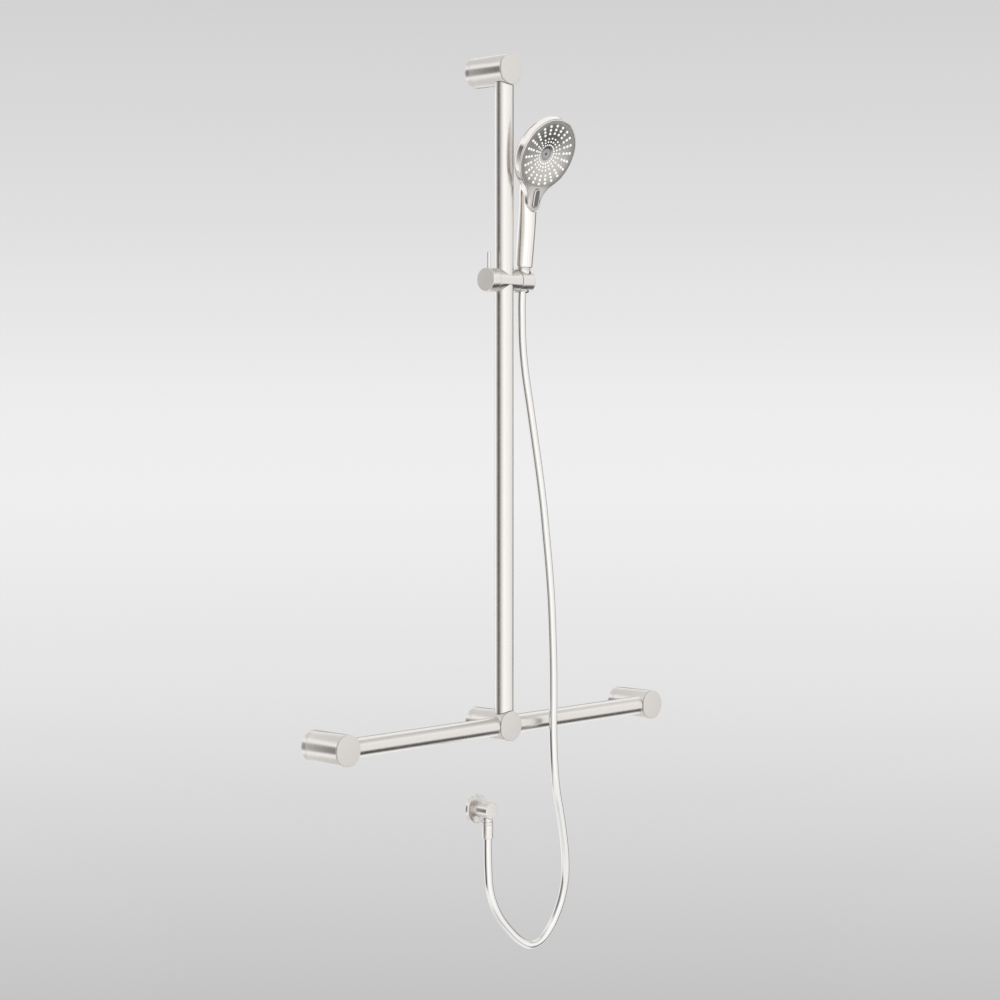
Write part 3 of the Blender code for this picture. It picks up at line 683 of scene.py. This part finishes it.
slider_tube = turned("slider_barrel", [
    (0, body_low.x), (slider_radius, body_low.x, 0.0005), (slider_radius, body_high.x, 0.0005),
    (0, body_high.x)], along_slider)
carve(slider_tube, bar("bore", rail_radius + GAP, -0.05, 0.05, rail_bore, 96), edge=0.0004)
shoe_low, shoe_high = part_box("clamp_shoe")
spindle_low, spindle_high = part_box("clamp_spindle")
axle_low, axle_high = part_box("holder_axle")
carve(slider_tube,
      bar("pocket", SHOE_POCKET, shoe_low.x - 0.001, shoe_high.x, along_slider, 32),
      bar("pocket", SPINDLE_BORE, spindle_low.x, spindle_high.x, along_slider, 32),
      bar("pocket", AXLE_BORE, axle_low.x - GAP, axle_high.x, along_slider, 32))
dress(slider_tube, "slider_body")

knob_low, knob_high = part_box("clamp_knob")
knob = turned("lever_knob", [
    (0, knob_high.x), (slider_radius, knob_high.x, 0.0005), (slider_radius, knob_low.x, 0.0012),
    (0, knob_low.x)], along_slider)
lever_low, lever_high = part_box("clamp_lever")
lever_middle = middle("clamp_lever")
lever_foot = placed((lever_middle.x, lever_middle.y, 0))
carve(knob, bar("hole", LEVER_HOLE, slider_axis.z + 0.010, slider_axis.z + 0.030, lever_foot, 32))
carve(knob, bar("bore", SPINDLE_BORE, spindle_low.x - GAP, spindle_high.x, along_slider, 32))
dress(knob, "clamp_knob")
knob.data.materials.append(turned_nickel)
for polygon in knob.data.polygons:
    if abs(polygon.normal.z) > 0.9:
        polygon.material_index = 1

lever = turned("lever_pin", [
    (0, lever_high.z), (LEVER_RADIUS, lever_high.z, 0.0012), (LEVER_RADIUS, lever_low.z),
    (0, lever_low.z)], lever_foot, steps=48)
dress(lever, "clamp_lever")
print("slider", round(2000 * slider_radius, 1), "mm across")

# %% [markdown]
# ## Holder, its insert and the hose nut
#
# The holder is the right end of the slider's barrel, split off so that it can tilt. A conical hole
# runs down through it, lined with an insert, and the conical nut of the hose sits in it. The
# insert is painted near-black as painted shade for the shadowed gap round the nut. It is a cone
# trimmed by the barrel's own surface, so the lining's edge follows the curved mouth.

# %% Cone fits
DOCK_LEAN = math.radians(5.5)
NUT_RADIUS = 0.0109
NUT_TAPER = 0.035
INSERT_WALL = 0.0010
holder_low, holder_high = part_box("holder")
dock = placed((middle("hose_cone_nut").x, -0.0665, slider_axis.z), (DOCK_LEAN, 0, 0))


def cone(extra, height):
    return NUT_RADIUS + extra + NUT_TAPER * height


def cone_bar(name, extra, reach=0.03):
    return turned(name, [
        (0, -reach), (cone(extra, -reach), -reach), (cone(extra, reach), reach), (0, reach)], dock)


holder = turned("holder_cup", [
    (0, holder_high.x), (slider_radius, holder_high.x, 0.0012), (slider_radius, holder_low.x, 0.0005),
    (0, holder_low.x)], along_slider)
carve(holder, cone_bar("cone", 2 * GAP + INSERT_WALL), edge=0.0005)
carve(holder, bar("bore", AXLE_BORE, axle_low.x, axle_high.x + GAP, along_slider, 32))
dress(holder, "holder")

insert = turned("holder_lining", [
    (cone(GAP + INSERT_WALL, 0.024), 0.024), (cone(GAP + INSERT_WALL, -0.024), -0.024),
    (cone(GAP, -0.024), -0.024), (cone(GAP, 0.024), 0.024)], dock, closed=True)
carve(insert, bar("barrel", slider_radius - 0.0004, holder_low.x - 0.01, holder_high.x + 0.01,
                  along_slider, 96), how="INTERSECT")
# The near-black finish on the lining is painted shade for the shadowed gap round the nut.
dress(insert, "holder_insert", look=plain["black_rubber"])

NUT_BOTTOM, NUT_TOP, NUT_SHOULDER = -0.0170, 0.0232, 0.0120
nut = turned("cone_nut", [
    (cone(0, NUT_TOP), NUT_TOP, 0.0005), (cone(0, NUT_TOP - 0.0022), NUT_TOP - 0.0022, 0.0002),
    (cone(-0.0005, NUT_TOP - 0.0025), NUT_TOP - 0.0025),
    (cone(0, NUT_TOP - 0.0028), NUT_TOP - 0.0028, 0.0002),
    (cone(0, NUT_BOTTOM), NUT_BOTTOM, 0.0008), (HOSE_RADIUS + 0.0003, NUT_BOTTOM, 0.0003),
    (HOSE_RADIUS + 0.0003, NUT_SHOULDER), (0.0102, NUT_SHOULDER), (0.0102, NUT_TOP)], dock, closed=True)
dress(nut, "hose_cone_nut")
print("nut", round(2000 * cone(0, NUT_TOP), 1), "mm across at the top,",
      round(2000 * cone(0, NUT_BOTTOM), 1), "at the bottom")

# %% [markdown]
# ## The shower head's outline
#
# Seen square on, the face is a circle that runs into a narrow round tip through a hollow fillet on
# each side, like a drop. Three kinds of arc, tangent to each other, draw it exactly. The same
# function, with an inset, gives every row of the shell, the bezel and the face plate.

# %% A drop made of arcs
HEAD_TILT = math.radians(24.5)
HEAD_RADIUS = 0.0633
TIP_RADIUS, TIP_V, FILLET = 0.0144, -0.0831, 0.0478
NECK_BEND_V, NECK_BEND = -0.0510, 4.33
head = placed((0.0455, -0.1246, 0.9575), (math.pi / 2 + HEAD_TILT, 0, 0))


def bent(x, v, height):
    """A point of the head's frame. Below the disc the neck curves forward, to lie on the handle."""
    return Vector((x, v, height + NECK_BEND * max(0.0, NECK_BEND_V - v) ** 2))


def drop_outline(inset, height):
    """The outline, drawn in by the inset, at a height in front of the face plane."""
    reach, span = HEAD_RADIUS + FILLET, TIP_RADIUS + FILLET
    fillet_v = (reach ** 2 - span ** 2 + TIP_V ** 2) / (2 * TIP_V)
    fillet_x = math.sqrt(reach ** 2 - fillet_v ** 2)
    big = math.atan2(fillet_v, fillet_x)
    small = math.atan2(fillet_v - TIP_V, fillet_x)

    def arc(x, v, radius, start, end, count):
        turns = [start + (end - start) * i / count for i in range(count)]
        return [bent(x + radius * math.cos(turn), v + radius * math.sin(turn), height)
                for turn in turns]

    return (arc(0, 0, HEAD_RADIUS - inset, big, math.pi - big, 132)
            + arc(-fillet_x, fillet_v, FILLET + inset, -big, -small, 20)
            + arc(0, TIP_V, TIP_RADIUS - inset, math.pi - small, 2 * math.pi + small, 36)
            + arc(fillet_x, fillet_v, FILLET + inset, math.pi + small, math.pi + big, 20))


def drop_rows(pairs):
    return [drop_outline(inset, height) for height, inset in pairs]


def drawn_in(inset, height, share):
    """The same outline, shrunk towards the head's middle to close a form without one large face."""
    return [bent(point.x * share, -0.012 + (point.y + 0.012) * share, height)
            for point in drop_outline(inset, height)]


print("outline of", len(drop_outline(0, 0)), "points")

# %% [markdown]
# ## The shower's shell
#
# The shell is one moulding: a shallow pod behind the face that flows into a long round handle. A
# subdivision cage could give it, but the silhouette would drift. Instead the pod is a skin over
# drop outlines, the handle a skin over ellipses along a spine, and a union joins them. The crease
# where they meet at the back is then relaxed into a soft fillet, and the inside is cut out.

# %% Pod, handle, union and fillet
HANDLE = [  # y, z, tilt in degrees, half width, half depth
    (-0.0688, 0.7735, 5.5, 0.0138, 0.0138), (-0.0689, 0.7750, 5.5, 0.0146, 0.0146),
    (-0.0713, 0.8000, 5.5, 0.0150, 0.0150), (-0.0738, 0.8260, 5.5, 0.0153, 0.0152),
    (-0.0756, 0.8450, 5.5, 0.0156, 0.0150), (-0.0769, 0.8590, 6.5, 0.0160, 0.0143),
    (-0.0782, 0.8710, 9.0, 0.0167, 0.0136), (-0.0797, 0.8850, 12.0, 0.0180, 0.0135),
    (-0.0811, 0.8980, 18.0, 0.0200, 0.0135), (-0.0835, 0.9120, 22.0, 0.0222, 0.0125),
    (-0.0905, 0.9270, 24.5, 0.0240, 0.0095), (-0.1015, 0.9430, 24.5, 0.0260, 0.0060),
]
POD = [  # height, inset
    (-0.0010, -0.0003), (-0.0013, -0.0007), (-0.0020, -0.0009), (-0.0060, -0.0009),
    (-0.0110, -0.0008), (-0.0150, 0.0005), (-0.0180, 0.0032), (-0.0200, 0.0070), (-0.0210, 0.0125),
]
CREASE_REACH = 0.011
CREASE_PASSES = 40


def ellipse(section, count=80):
    y, z, tilt, half_width, half_depth = section
    turn = Matrix.Rotation(math.radians(tilt), 3, "X")
    return [Vector((head.translation.x, y, z))
            + turn @ Vector((half_width * math.cos(math.tau * i / count),
                             half_depth * math.sin(math.tau * i / count), 0)) for i in range(count)]


pod_rows = drop_rows((row[0], row[1]) for row in smooth_rows([Vector(pair) for pair in POD], 4))
back_row = pod_rows[-1]
for share in (0.85, 0.68, 0.50, 0.32, 0.15):
    pod_rows.append([Vector((point.x * share, -0.012 + (point.y + 0.012) * share,
                             point.z - 0.0016 * (1 - share ** 2))) for point in back_row])
front_rows = [drawn_in(POD[0][1], POD[0][0], share) for share in (0.05, 0.50, 0.85)]
shell = skin("shower_shell", front_rows + pod_rows, head)
handle_rows = [ellipse(HANDLE[0]), *(ellipse(row) for row in smooth_rows(
    [Vector(section) for section in HANDLE[1:]], 10))]
handle = skin("handle_form", handle_rows)
handle.data.materials.append(steel)
shell.data.materials.append(polished_nickel)
carve(shell, handle, how="UNION")


def relax_crease(piece, place):
    """Pull the points near the seam of the union towards their neighbours, at the back only."""
    work = bmesh.new()
    work.from_mesh(piece.data)
    bmesh.ops.triangulate(work, faces=[face for face in work.faces if len(face.verts) > 4])
    seam = [edge for edge in work.edges if len(edge.link_faces) == 2
            and edge.link_faces[0].material_index != edge.link_faces[1].material_index]
    bmesh.ops.subdivide_edges(work, edges=[
        edge for edge in work.edges if edge.calc_length() > 0.004], cuts=1, use_grid_fill=True)
    tree = kdtree.KDTree(2 * len(seam))
    for k, edge in enumerate(seam):
        tree.insert(edge.verts[0].co, 2 * k)
        tree.insert(edge.verts[1].co, 2 * k + 1)
    tree.balance()
    shares = {}
    for vert in work.verts:
        distance = tree.find(vert.co)[2]
        behind = min(1.0, max(0.0, (-vert.co.z - 0.0105) / 0.004))
        share = behind * max(0.0, 1 - distance / CREASE_REACH) ** 0.8
        if share > 0:
            shares[vert] = 0.6 * share
    for _ in range(CREASE_PASSES):
        moved = {vert: sum((edge.other_vert(vert).co for edge in vert.link_edges), Vector())
                 / len(vert.link_edges) for vert in shares}
        for vert, target in moved.items():
            vert.co = vert.co.lerp(target, shares[vert])
    for face in work.faces:
        face.material_index = 0
    return as_piece(piece.name + "_relaxed", work, place)


relaxed = relax_crease(shell, head)
bpy.data.objects.remove(shell, do_unlink=True)
cavity_rows = drop_rows([(0.0050, 0.0003), (-0.0033, 0.0003), (-0.0033, 0.0030), (-0.0140, 0.0032),
                         (-0.0170, 0.0065), (-0.0185, 0.0120)])
cavity = skin("cavity", [drawn_in(0.0003, 0.0050, 0.05), drawn_in(0.0003, 0.0050, 0.50), *cavity_rows,
                         drawn_in(0.0120, -0.0185, 0.50), drawn_in(0.0120, -0.0185, 0.05)], head)
carve(relaxed, cavity, bar("handle_bore", 0.0095, 0.0100, 0.1450, dock, 64), folds=True)
dress(relaxed, "handset_shell")
print("shell of", len(relaxed.data.polygons), "faces")

# %% [markdown]
# ## Bezel and spray face
#
# A polished bezel rings the face. Inside it the face is level near its edge and dishes inwards like
# a shallow funnel towards the centre nozzle. The plate is one skin: its rows start at the drop
# outline, close in to a circle, and run down the funnel's formula.

# %% Bezel, funnel and centre nozzle
FUNNEL_RADIUS, FUNNEL_DEPTH = 0.0570, 0.0048
NOZZLE_RADIUS, JET_RADIUS = 0.0100, 0.0018
BORE_RADIUS = NOZZLE_RADIUS + 0.0004
FACE_WALL = 0.0022


def funnel(radius):
    """Depth of the dished face: none at the rim, most at the centre nozzle."""
    inner = NOZZLE_RADIUS + 0.0010
    slope = max(0.0, 1 - (radius - inner) / (FUNNEL_RADIUS - inner))
    return -FUNNEL_DEPTH * min(slope, 1.0) ** 1.6


bezel = skin("face_rim", drop_rows([(-0.0030, 0.0006), (-0.0006, 0.0006), (0.0000, 0.0008),
                                    (0.0004, 0.0013), (0.0005, 0.0018), (0.0002, 0.0023),
                                    (-0.0004, 0.0024), (-0.0030, 0.0024)]), head, ends="loop")
dress(bezel, "face_bezel")

edge_row = drop_outline(0.0027, -0.0002)
circle_row = [Vector((point.x, point.y, 0)).normalized() * FUNNEL_RADIUS for point in edge_row]
face_rows = [[point - Vector((0, 0, 0.0024)) for point in edge_row],
             [point - Vector((0, 0, 0.0003)) for point in edge_row],
             drop_outline(0.0030, -0.0002)]
for share in (0.35, 0.70, 1.0):
    face_rows.append([edge.lerp(Vector((*ring.xy, -0.0002)), share)
                      for edge, ring in zip(edge_row, circle_row)])
radii = [FUNNEL_RADIUS + (BORE_RADIUS - FUNNEL_RADIUS) * k / 30 for k in range(1, 31)]
face_rows += [[point * (radius / FUNNEL_RADIUS) + Vector((0, 0, funnel(radius) - 0.0002))
               for point in circle_row] for radius in radii]
face_rows += [[point * (radius / FUNNEL_RADIUS) + Vector((0, 0, funnel(radius) - FACE_WALL))
               for point in circle_row] for radius in radii[::-3] + [FUNNEL_RADIUS]]
face = skin("spray_face", face_rows, head, ends="loop")

nozzle = turned("center_jet", [
    (JET_RADIUS, -0.0090), (JET_RADIUS, -0.0058, 0.0002), (0.0025, -0.0053, 0.0004),
    (0.0076, -0.0050, 0.0004),
    (0.0081, -0.0055, 0.0002), (0.0086, -0.0050, 0.0002), (NOZZLE_RADIUS, -0.0050, 0.0008),
    (NOZZLE_RADIUS, -0.0098), (JET_RADIUS, -0.0098)], head, closed=True)
dress(nozzle, "center_nozzle")
# The bore of the jet is painted black: painted shade inside the hole.
nozzle.data.materials.append(plain["black_rubber"])
for polygon in nozzle.data.polygons:
    if (head.inverted() @ polygon.center).xy.length < JET_RADIUS + 0.00025:
        polygon.material_index = 1
print("funnel", round(-1000 * funnel(0), 1), "mm deep")

# %% [markdown]
# ## Spray button
#
# A long button stands in the neck of the face, in a slot with a thin bright surround. It is raised
# with soft shoulders, and a dark grey pad fills its top: painted shade that stands for the shaded
# hollow of a dished top. All its rows are the same slot outline, drawn in by an inset, so one
# function serves the slot, the surround, button and pad.

# %% Slot, surround, button and pad
BUTTON_V, BUTTON_LENGTH, BUTTON_WIDTH = -0.0749, 0.0164, 0.0075


def slot_outline(inset, height):
    """A slot with round ends, drawn in by the inset."""
    radius = BUTTON_WIDTH - inset
    straight = BUTTON_LENGTH - BUTTON_WIDTH
    points = []
    for sign, start in ((1, 0.0), (-1, math.pi)):
        for k in range(25):
            turn = start + math.pi * k / 24
            points.append(bent(radius * math.cos(turn),
                               BUTTON_V + sign * straight + radius * math.sin(turn), height))
    return points


def slot_rows(pairs):
    return [slot_outline(inset, height) for height, inset in pairs]


carve(face, skin("slot", slot_rows([(-0.010, -GAP), (0.010, -GAP)]), head))
dress(face, "face_plate")

surround = skin("button_rim", slot_rows([
    (-0.0040, 0.0), (0.0000, 0.0), (0.0004, 0.0002), (0.0005, 0.0005), (0.0003, 0.0008),
    (-0.0001, 0.0009), (-0.0040, 0.0009)]), head, ends="loop")
dress(surround, "button_surround")

button = skin("spray_button", slot_rows([
    (-0.0024, 0.0015), (0.0016, 0.0015), (0.0022, 0.0016), (0.0027, 0.0019), (0.0030, 0.0023),
    (0.0030, 0.0025), (0.0026, 0.0026)]), head)
dress(button, "selector_button", look=polished_nickel)
# The dark pad on the button's top is painted shade for the hollow of a dished top.
pad = skin("button_pad", slot_rows([
    (0.0024, 0.0027), (0.0028, 0.0027), (0.0030, 0.0030), (0.0030, 0.0036)]), head)
dress(pad, "selector_button", look=plain["dark_pad"], stands_in=False)
print("button", 2000 * BUTTON_LENGTH, "by", 2000 * BUTTON_WIDTH, "mm")

# %% [markdown]
# ## Soft nozzles
#
# White silicone nozzles stand through the face in 22 rows that run out like rays, six to a row:
# three larger ones outside and three smaller ones near the centre. They are moulded in one piece
# with a mat behind the face. Each is a small turned dome set square on the funnel's slope.

# %% Mat and domes
ROWS = 22
DOMES = [  # distance from the centre, radius, height
    (0.0511, 0.00210, 0.0014), (0.0444, 0.00205, 0.0014), (0.0377, 0.00195, 0.0013),
    (0.0283, 0.00160, 0.0011), (0.0223, 0.00150, 0.0010), (0.0165, 0.00140, 0.0009),
]
DOME_SIDES = 16


def add_dome(work, spot, slope, radius, rise):
    """A dome with a small foot, standing square on the slope."""
    profile = [(1.18, -0.0008), (1.18, 0.00008), (1.02, 0.00014), (0.99, 0.45 * rise),
               (0.86, 0.78 * rise), (0.60, 0.95 * rise), (0.28, 1.0 * rise)]
    rows = []
    for share, height in profile:
        rows.append([work.verts.new(spot + slope @ Vector((
            share * radius * math.cos(math.tau * k / DOME_SIDES),
            share * radius * math.sin(math.tau * k / DOME_SIDES), height))) for k in range(DOME_SIDES)])
    for lower, upper in zip(rows, rows[1:]):
        for k in range(DOME_SIDES):
            j = (k + 1) % DOME_SIDES
            work.faces.new((lower[k], lower[j], upper[j], upper[k]))
    work.faces.new(rows[0])
    work.faces.new(rows[-1])


mat = bmesh.new()
for row in range(ROWS):
    bearing = math.pi / 2 + math.tau * row / ROWS
    for distance, radius, rise in DOMES:
        lean = math.atan2(funnel(distance + 0.0005) - funnel(distance - 0.0005), 0.001)
        slope = Matrix.Rotation(bearing, 3, "Z") @ Matrix.Rotation(-lean, 3, "Y")
        spot = Vector((distance * math.cos(bearing), distance * math.sin(bearing),
                       funnel(distance) - 0.0002))
        add_dome(mat, spot, slope, radius, rise)
mat_radii = (0.0530, 0.040, 0.030, 0.020, BORE_RADIUS)
backing = turned("backing", [
    *[(radius, funnel(radius) - FACE_WALL - GAP) for radius in mat_radii],
    *[(radius, funnel(radius) - FACE_WALL - 0.0020) for radius in mat_radii[::-1]]],
    Matrix.Identity(4), closed=True, steps=64)
mat.from_mesh(backing.data)
bpy.data.objects.remove(backing, do_unlink=True)
nozzles = as_piece("soft_nozzles", mat, head, sharp=math.radians(60))
dress(nozzles, "nozzle_mat")
print(ROWS * len(DOMES), "soft nozzles")

# %% [markdown]
# ## Wall elbow
#
# The elbow is a short turned body on a thin flange, with an outlet spout underneath and the lower
# hose nut on it. Body and spout are two turned shapes joined by a union, where a single casting
# would need a modelled fillet that is too small to see.

# %% Flange, elbow and lower nut
flange_low, flange_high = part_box("elbow_flange")
elbow_middle = middle("elbow_flange")
flange_radius = (flange_high.x - flange_low.x) / 2
flange_depth = -flange_low.y
elbow_front = -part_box("elbow_body")[0].y
elbow_foot = placed((elbow_middle.x, 0, elbow_middle.z), FROM_WALL)
elbow_radius = 0.01425
outlet = placed((elbow_middle.x, middle("hose_nut_elbow").y, elbow_middle.z))

dress(turned("wall_flange", [
    (0.0112, 0.0), (0.0112, flange_depth), (flange_radius - 0.0010, flange_depth, 0.0012),
    (flange_radius, flange_depth - 0.0016, 0.0010), (flange_radius, 0.0)], elbow_foot, closed=True),
    "elbow_flange")
elbow = turned("elbow_barrel", [
    (0, elbow_front), (elbow_radius, elbow_front, 0.0012), (elbow_radius, 0.0130, 0.0012),
    (0.0122, 0.0128), (0.0122, flange_depth + GAP), (0.0108, flange_depth + GAP), (0.0108, 0.0),
    (0, 0.0)], elbow_foot)
spout = turned("spout", [
    (0, -0.0255), (0.0078, -0.0255), (0.0078, -0.0179), (0.0088, -0.0178, 0.0004), (0.0088, -0.0060),
    (0, -0.0060)], outlet)
carve(elbow, spout, how="UNION")
carve(elbow, bar("inlet", 0.0050, -0.010, 0.0310, elbow_foot, 32),
      bar("outlet", 0.0045, -0.0400, 0.0, outlet, 32))
dress(elbow, "elbow_body")

nut_low, nut_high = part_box("hose_nut_elbow")
nut_radius = (nut_high.x - nut_low.x) / 2
nut_top, nut_foot = nut_high.z - elbow_middle.z, nut_low.z - elbow_middle.z
dress(turned("lower_nut", [
    (nut_radius, nut_top, 0.0006), (nut_radius, nut_top - 0.0040, 0.0002),
    (nut_radius - 0.0005, nut_top - 0.0044), (nut_radius, nut_top - 0.0048, 0.0002),
    (nut_radius, nut_foot, 0.0008), (HOSE_RADIUS + 0.0003, nut_foot, 0.0003),
    (HOSE_RADIUS + 0.0003, nut_top - 0.0087), (0.0081, nut_top - 0.0087), (0.0081, nut_top)],
    outlet, closed=True), "hose_nut_elbow")
print("flange", round(2000 * flange_radius, 1), "mm across")

# %% [markdown]
# ## Parts that keep their engineering shape
#
# Screws, spindle, axle, washers, spring, valve and waterway sit inside the others. Their
# engineering meshes are fine as they are, so each only takes the finish of its slot.

# %% Finish the inner parts
kept = 0
for name, node in frame["nodes"].items():
    node.data.materials.clear()
    node.data.materials.append(finish_of_slot[slot_of[name]])
    kept += not node.hide_render
print(kept, "parts keep their engineering shape")

# %% [markdown]
# ## Floor, light and studio
#
# Polished metal shows its surroundings, so the studio is part of the finish: bright panels with
# dark gaps. One gap at the back left runs as a dark line down every upright tube, one at the back
# right darkens the shower's hidden side, and a patch below lines the level tubes and greys the
# face. They are drawn in the world's shader by compass bearing and height. Lamps and cards could
# give them too, with more pieces. Behind the object is a plain pale gradient.

# %% Studio
BRIGHTEST = 1.6
AROUND = [  # compass bearing in degrees, brightness
    (0, 0.30), (20, 0.18), (45, 0.20), (62, 0.60), (82, 1.45), (105, 1.25), (122, 0.80),
    (136, 0.32), (148, 0.04), (158, 0.04), (171, 0.25), (180, 0.55), (188, 0.85), (200, 1.10),
    (212, 1.35), (225, 1.50), (258, 1.40), (272, 1.25), (285, 1.40), (305, 1.15), (320, 1.10),
    (336, 1.25), (350, 0.60), (360, 0.30)]
BEHIND = [(0.093, 0.552), (0.339, 0.768), (0.512, 0.863), (0.586, 0.855), (0.771, 0.730),
          (0.938, 0.645)]


def bright_ring(sheet, x, y):
    """Brightness by compass bearing."""
    bearing = sheet.node("ShaderNodeMath", {"operation": "ARCTAN2"}, [y, x])
    turn = sheet.node("ShaderNodeMath", {"operation": "FRACT"}, [bearing * (1 / math.tau) + 1.0])
    stops = [(at / 360, level / BRIGHTEST) for at, level in AROUND]
    return sheet.node("ShaderNodeValToRGB", {"stops": stops}, [turn]) * BRIGHTEST


def ease(sheet, value, low, high):
    """From 0 to 1 as the value goes from low to high, softly."""
    return sheet.node("ShaderNodeMapRange", {"interpolation_type": "SMOOTHSTEP"},
                      {"Value": value, "From Min": low, "From Max": high})


world = bpy.data.worlds.new("studio")
world.use_nodes = True
bpy.context.scene.world = world
sky = Sheet(world.node_tree)
direction = sky.node("ShaderNodeTexCoord", output="Generated")
parts = sky.node("ShaderNodeSeparateXYZ", {}, [direction])
x, y, z = (Value(sky, parts.socket.node.outputs[axis]) for axis in "XYZ")
ring = bright_ring(sky, x, y)
window = 1.0 - ease(sky, z * z, 0.06, 0.16)
rim = ease(sky, y, 0.00, 0.14) * ease(sky, y, 0.60, 0.40)
dip = ease(sky, z * z, 0.27, 0.45) * (1.0 - ease(sky, z * z, 0.65, 0.85)) * (1.0 - rim)
side_level = 1.25 - 0.48 * dip
around = side_level + (ring - side_level) * window
under = ease(sky, z, -0.30, -0.44) * ease(sky, z, -0.95, -0.86) * ease(sky, y, -0.64, -0.50)
under = under * ease(sky, y, 0.02, -0.14) * ease(sky, x, 0.0, 0.25)
around = around * (1.0 - 0.95 * under)

height = sky.node("ShaderNodeMapRange", {}, {"Value": z, "From Min": -0.30, "From Max": 0.20})
backdrop = sky.node("ShaderNodeValToRGB", {"stops": BEHIND}, [height])
seen = sky.node("ShaderNodeLightPath", output="Is Camera Ray")
strength = around * (1.0 - seen) + backdrop * seen
background = sky.node("ShaderNodeBackground", {}, {"Strength": strength, "Color": tone(1, 1, 1)})
sky.node("ShaderNodeOutputWorld", {}, [background])

FLOOR_Z = -0.95
floor = turned("floor", [
    (0, FLOOR_Z), (1.29, FLOOR_Z, 0.01), (1.30, FLOOR_Z - 0.02), (0, FLOOR_Z - 0.02)],
    placed((0.15, 0.10, 0)))
floor.data.materials.append(finish(
    "studio_floor", speckled(tone(0.86, 0.86, 0.85), tone(0.83, 0.83, 0.82), 0.6, 0.00002)))
floor.visible_glossy = False

softbox_data = bpy.data.lights.new("softbox", "AREA")
softbox_data.shape = "DISK"
softbox_data.size = 2.5
softbox_data.energy = 45.0
softbox = bpy.data.objects.new("softbox", softbox_data)
softbox.location = (-2.2, -2.6, 3.2)
softbox.rotation_euler = (Vector((0, 0, 0.4)) - softbox.location).to_track_quat("-Z", "Y").to_euler()
softbox.visible_glossy = False
bpy.context.scene.collection.objects.link(softbox)
bpy.context.scene.view_settings.view_transform = "Standard"
print("studio is lit")
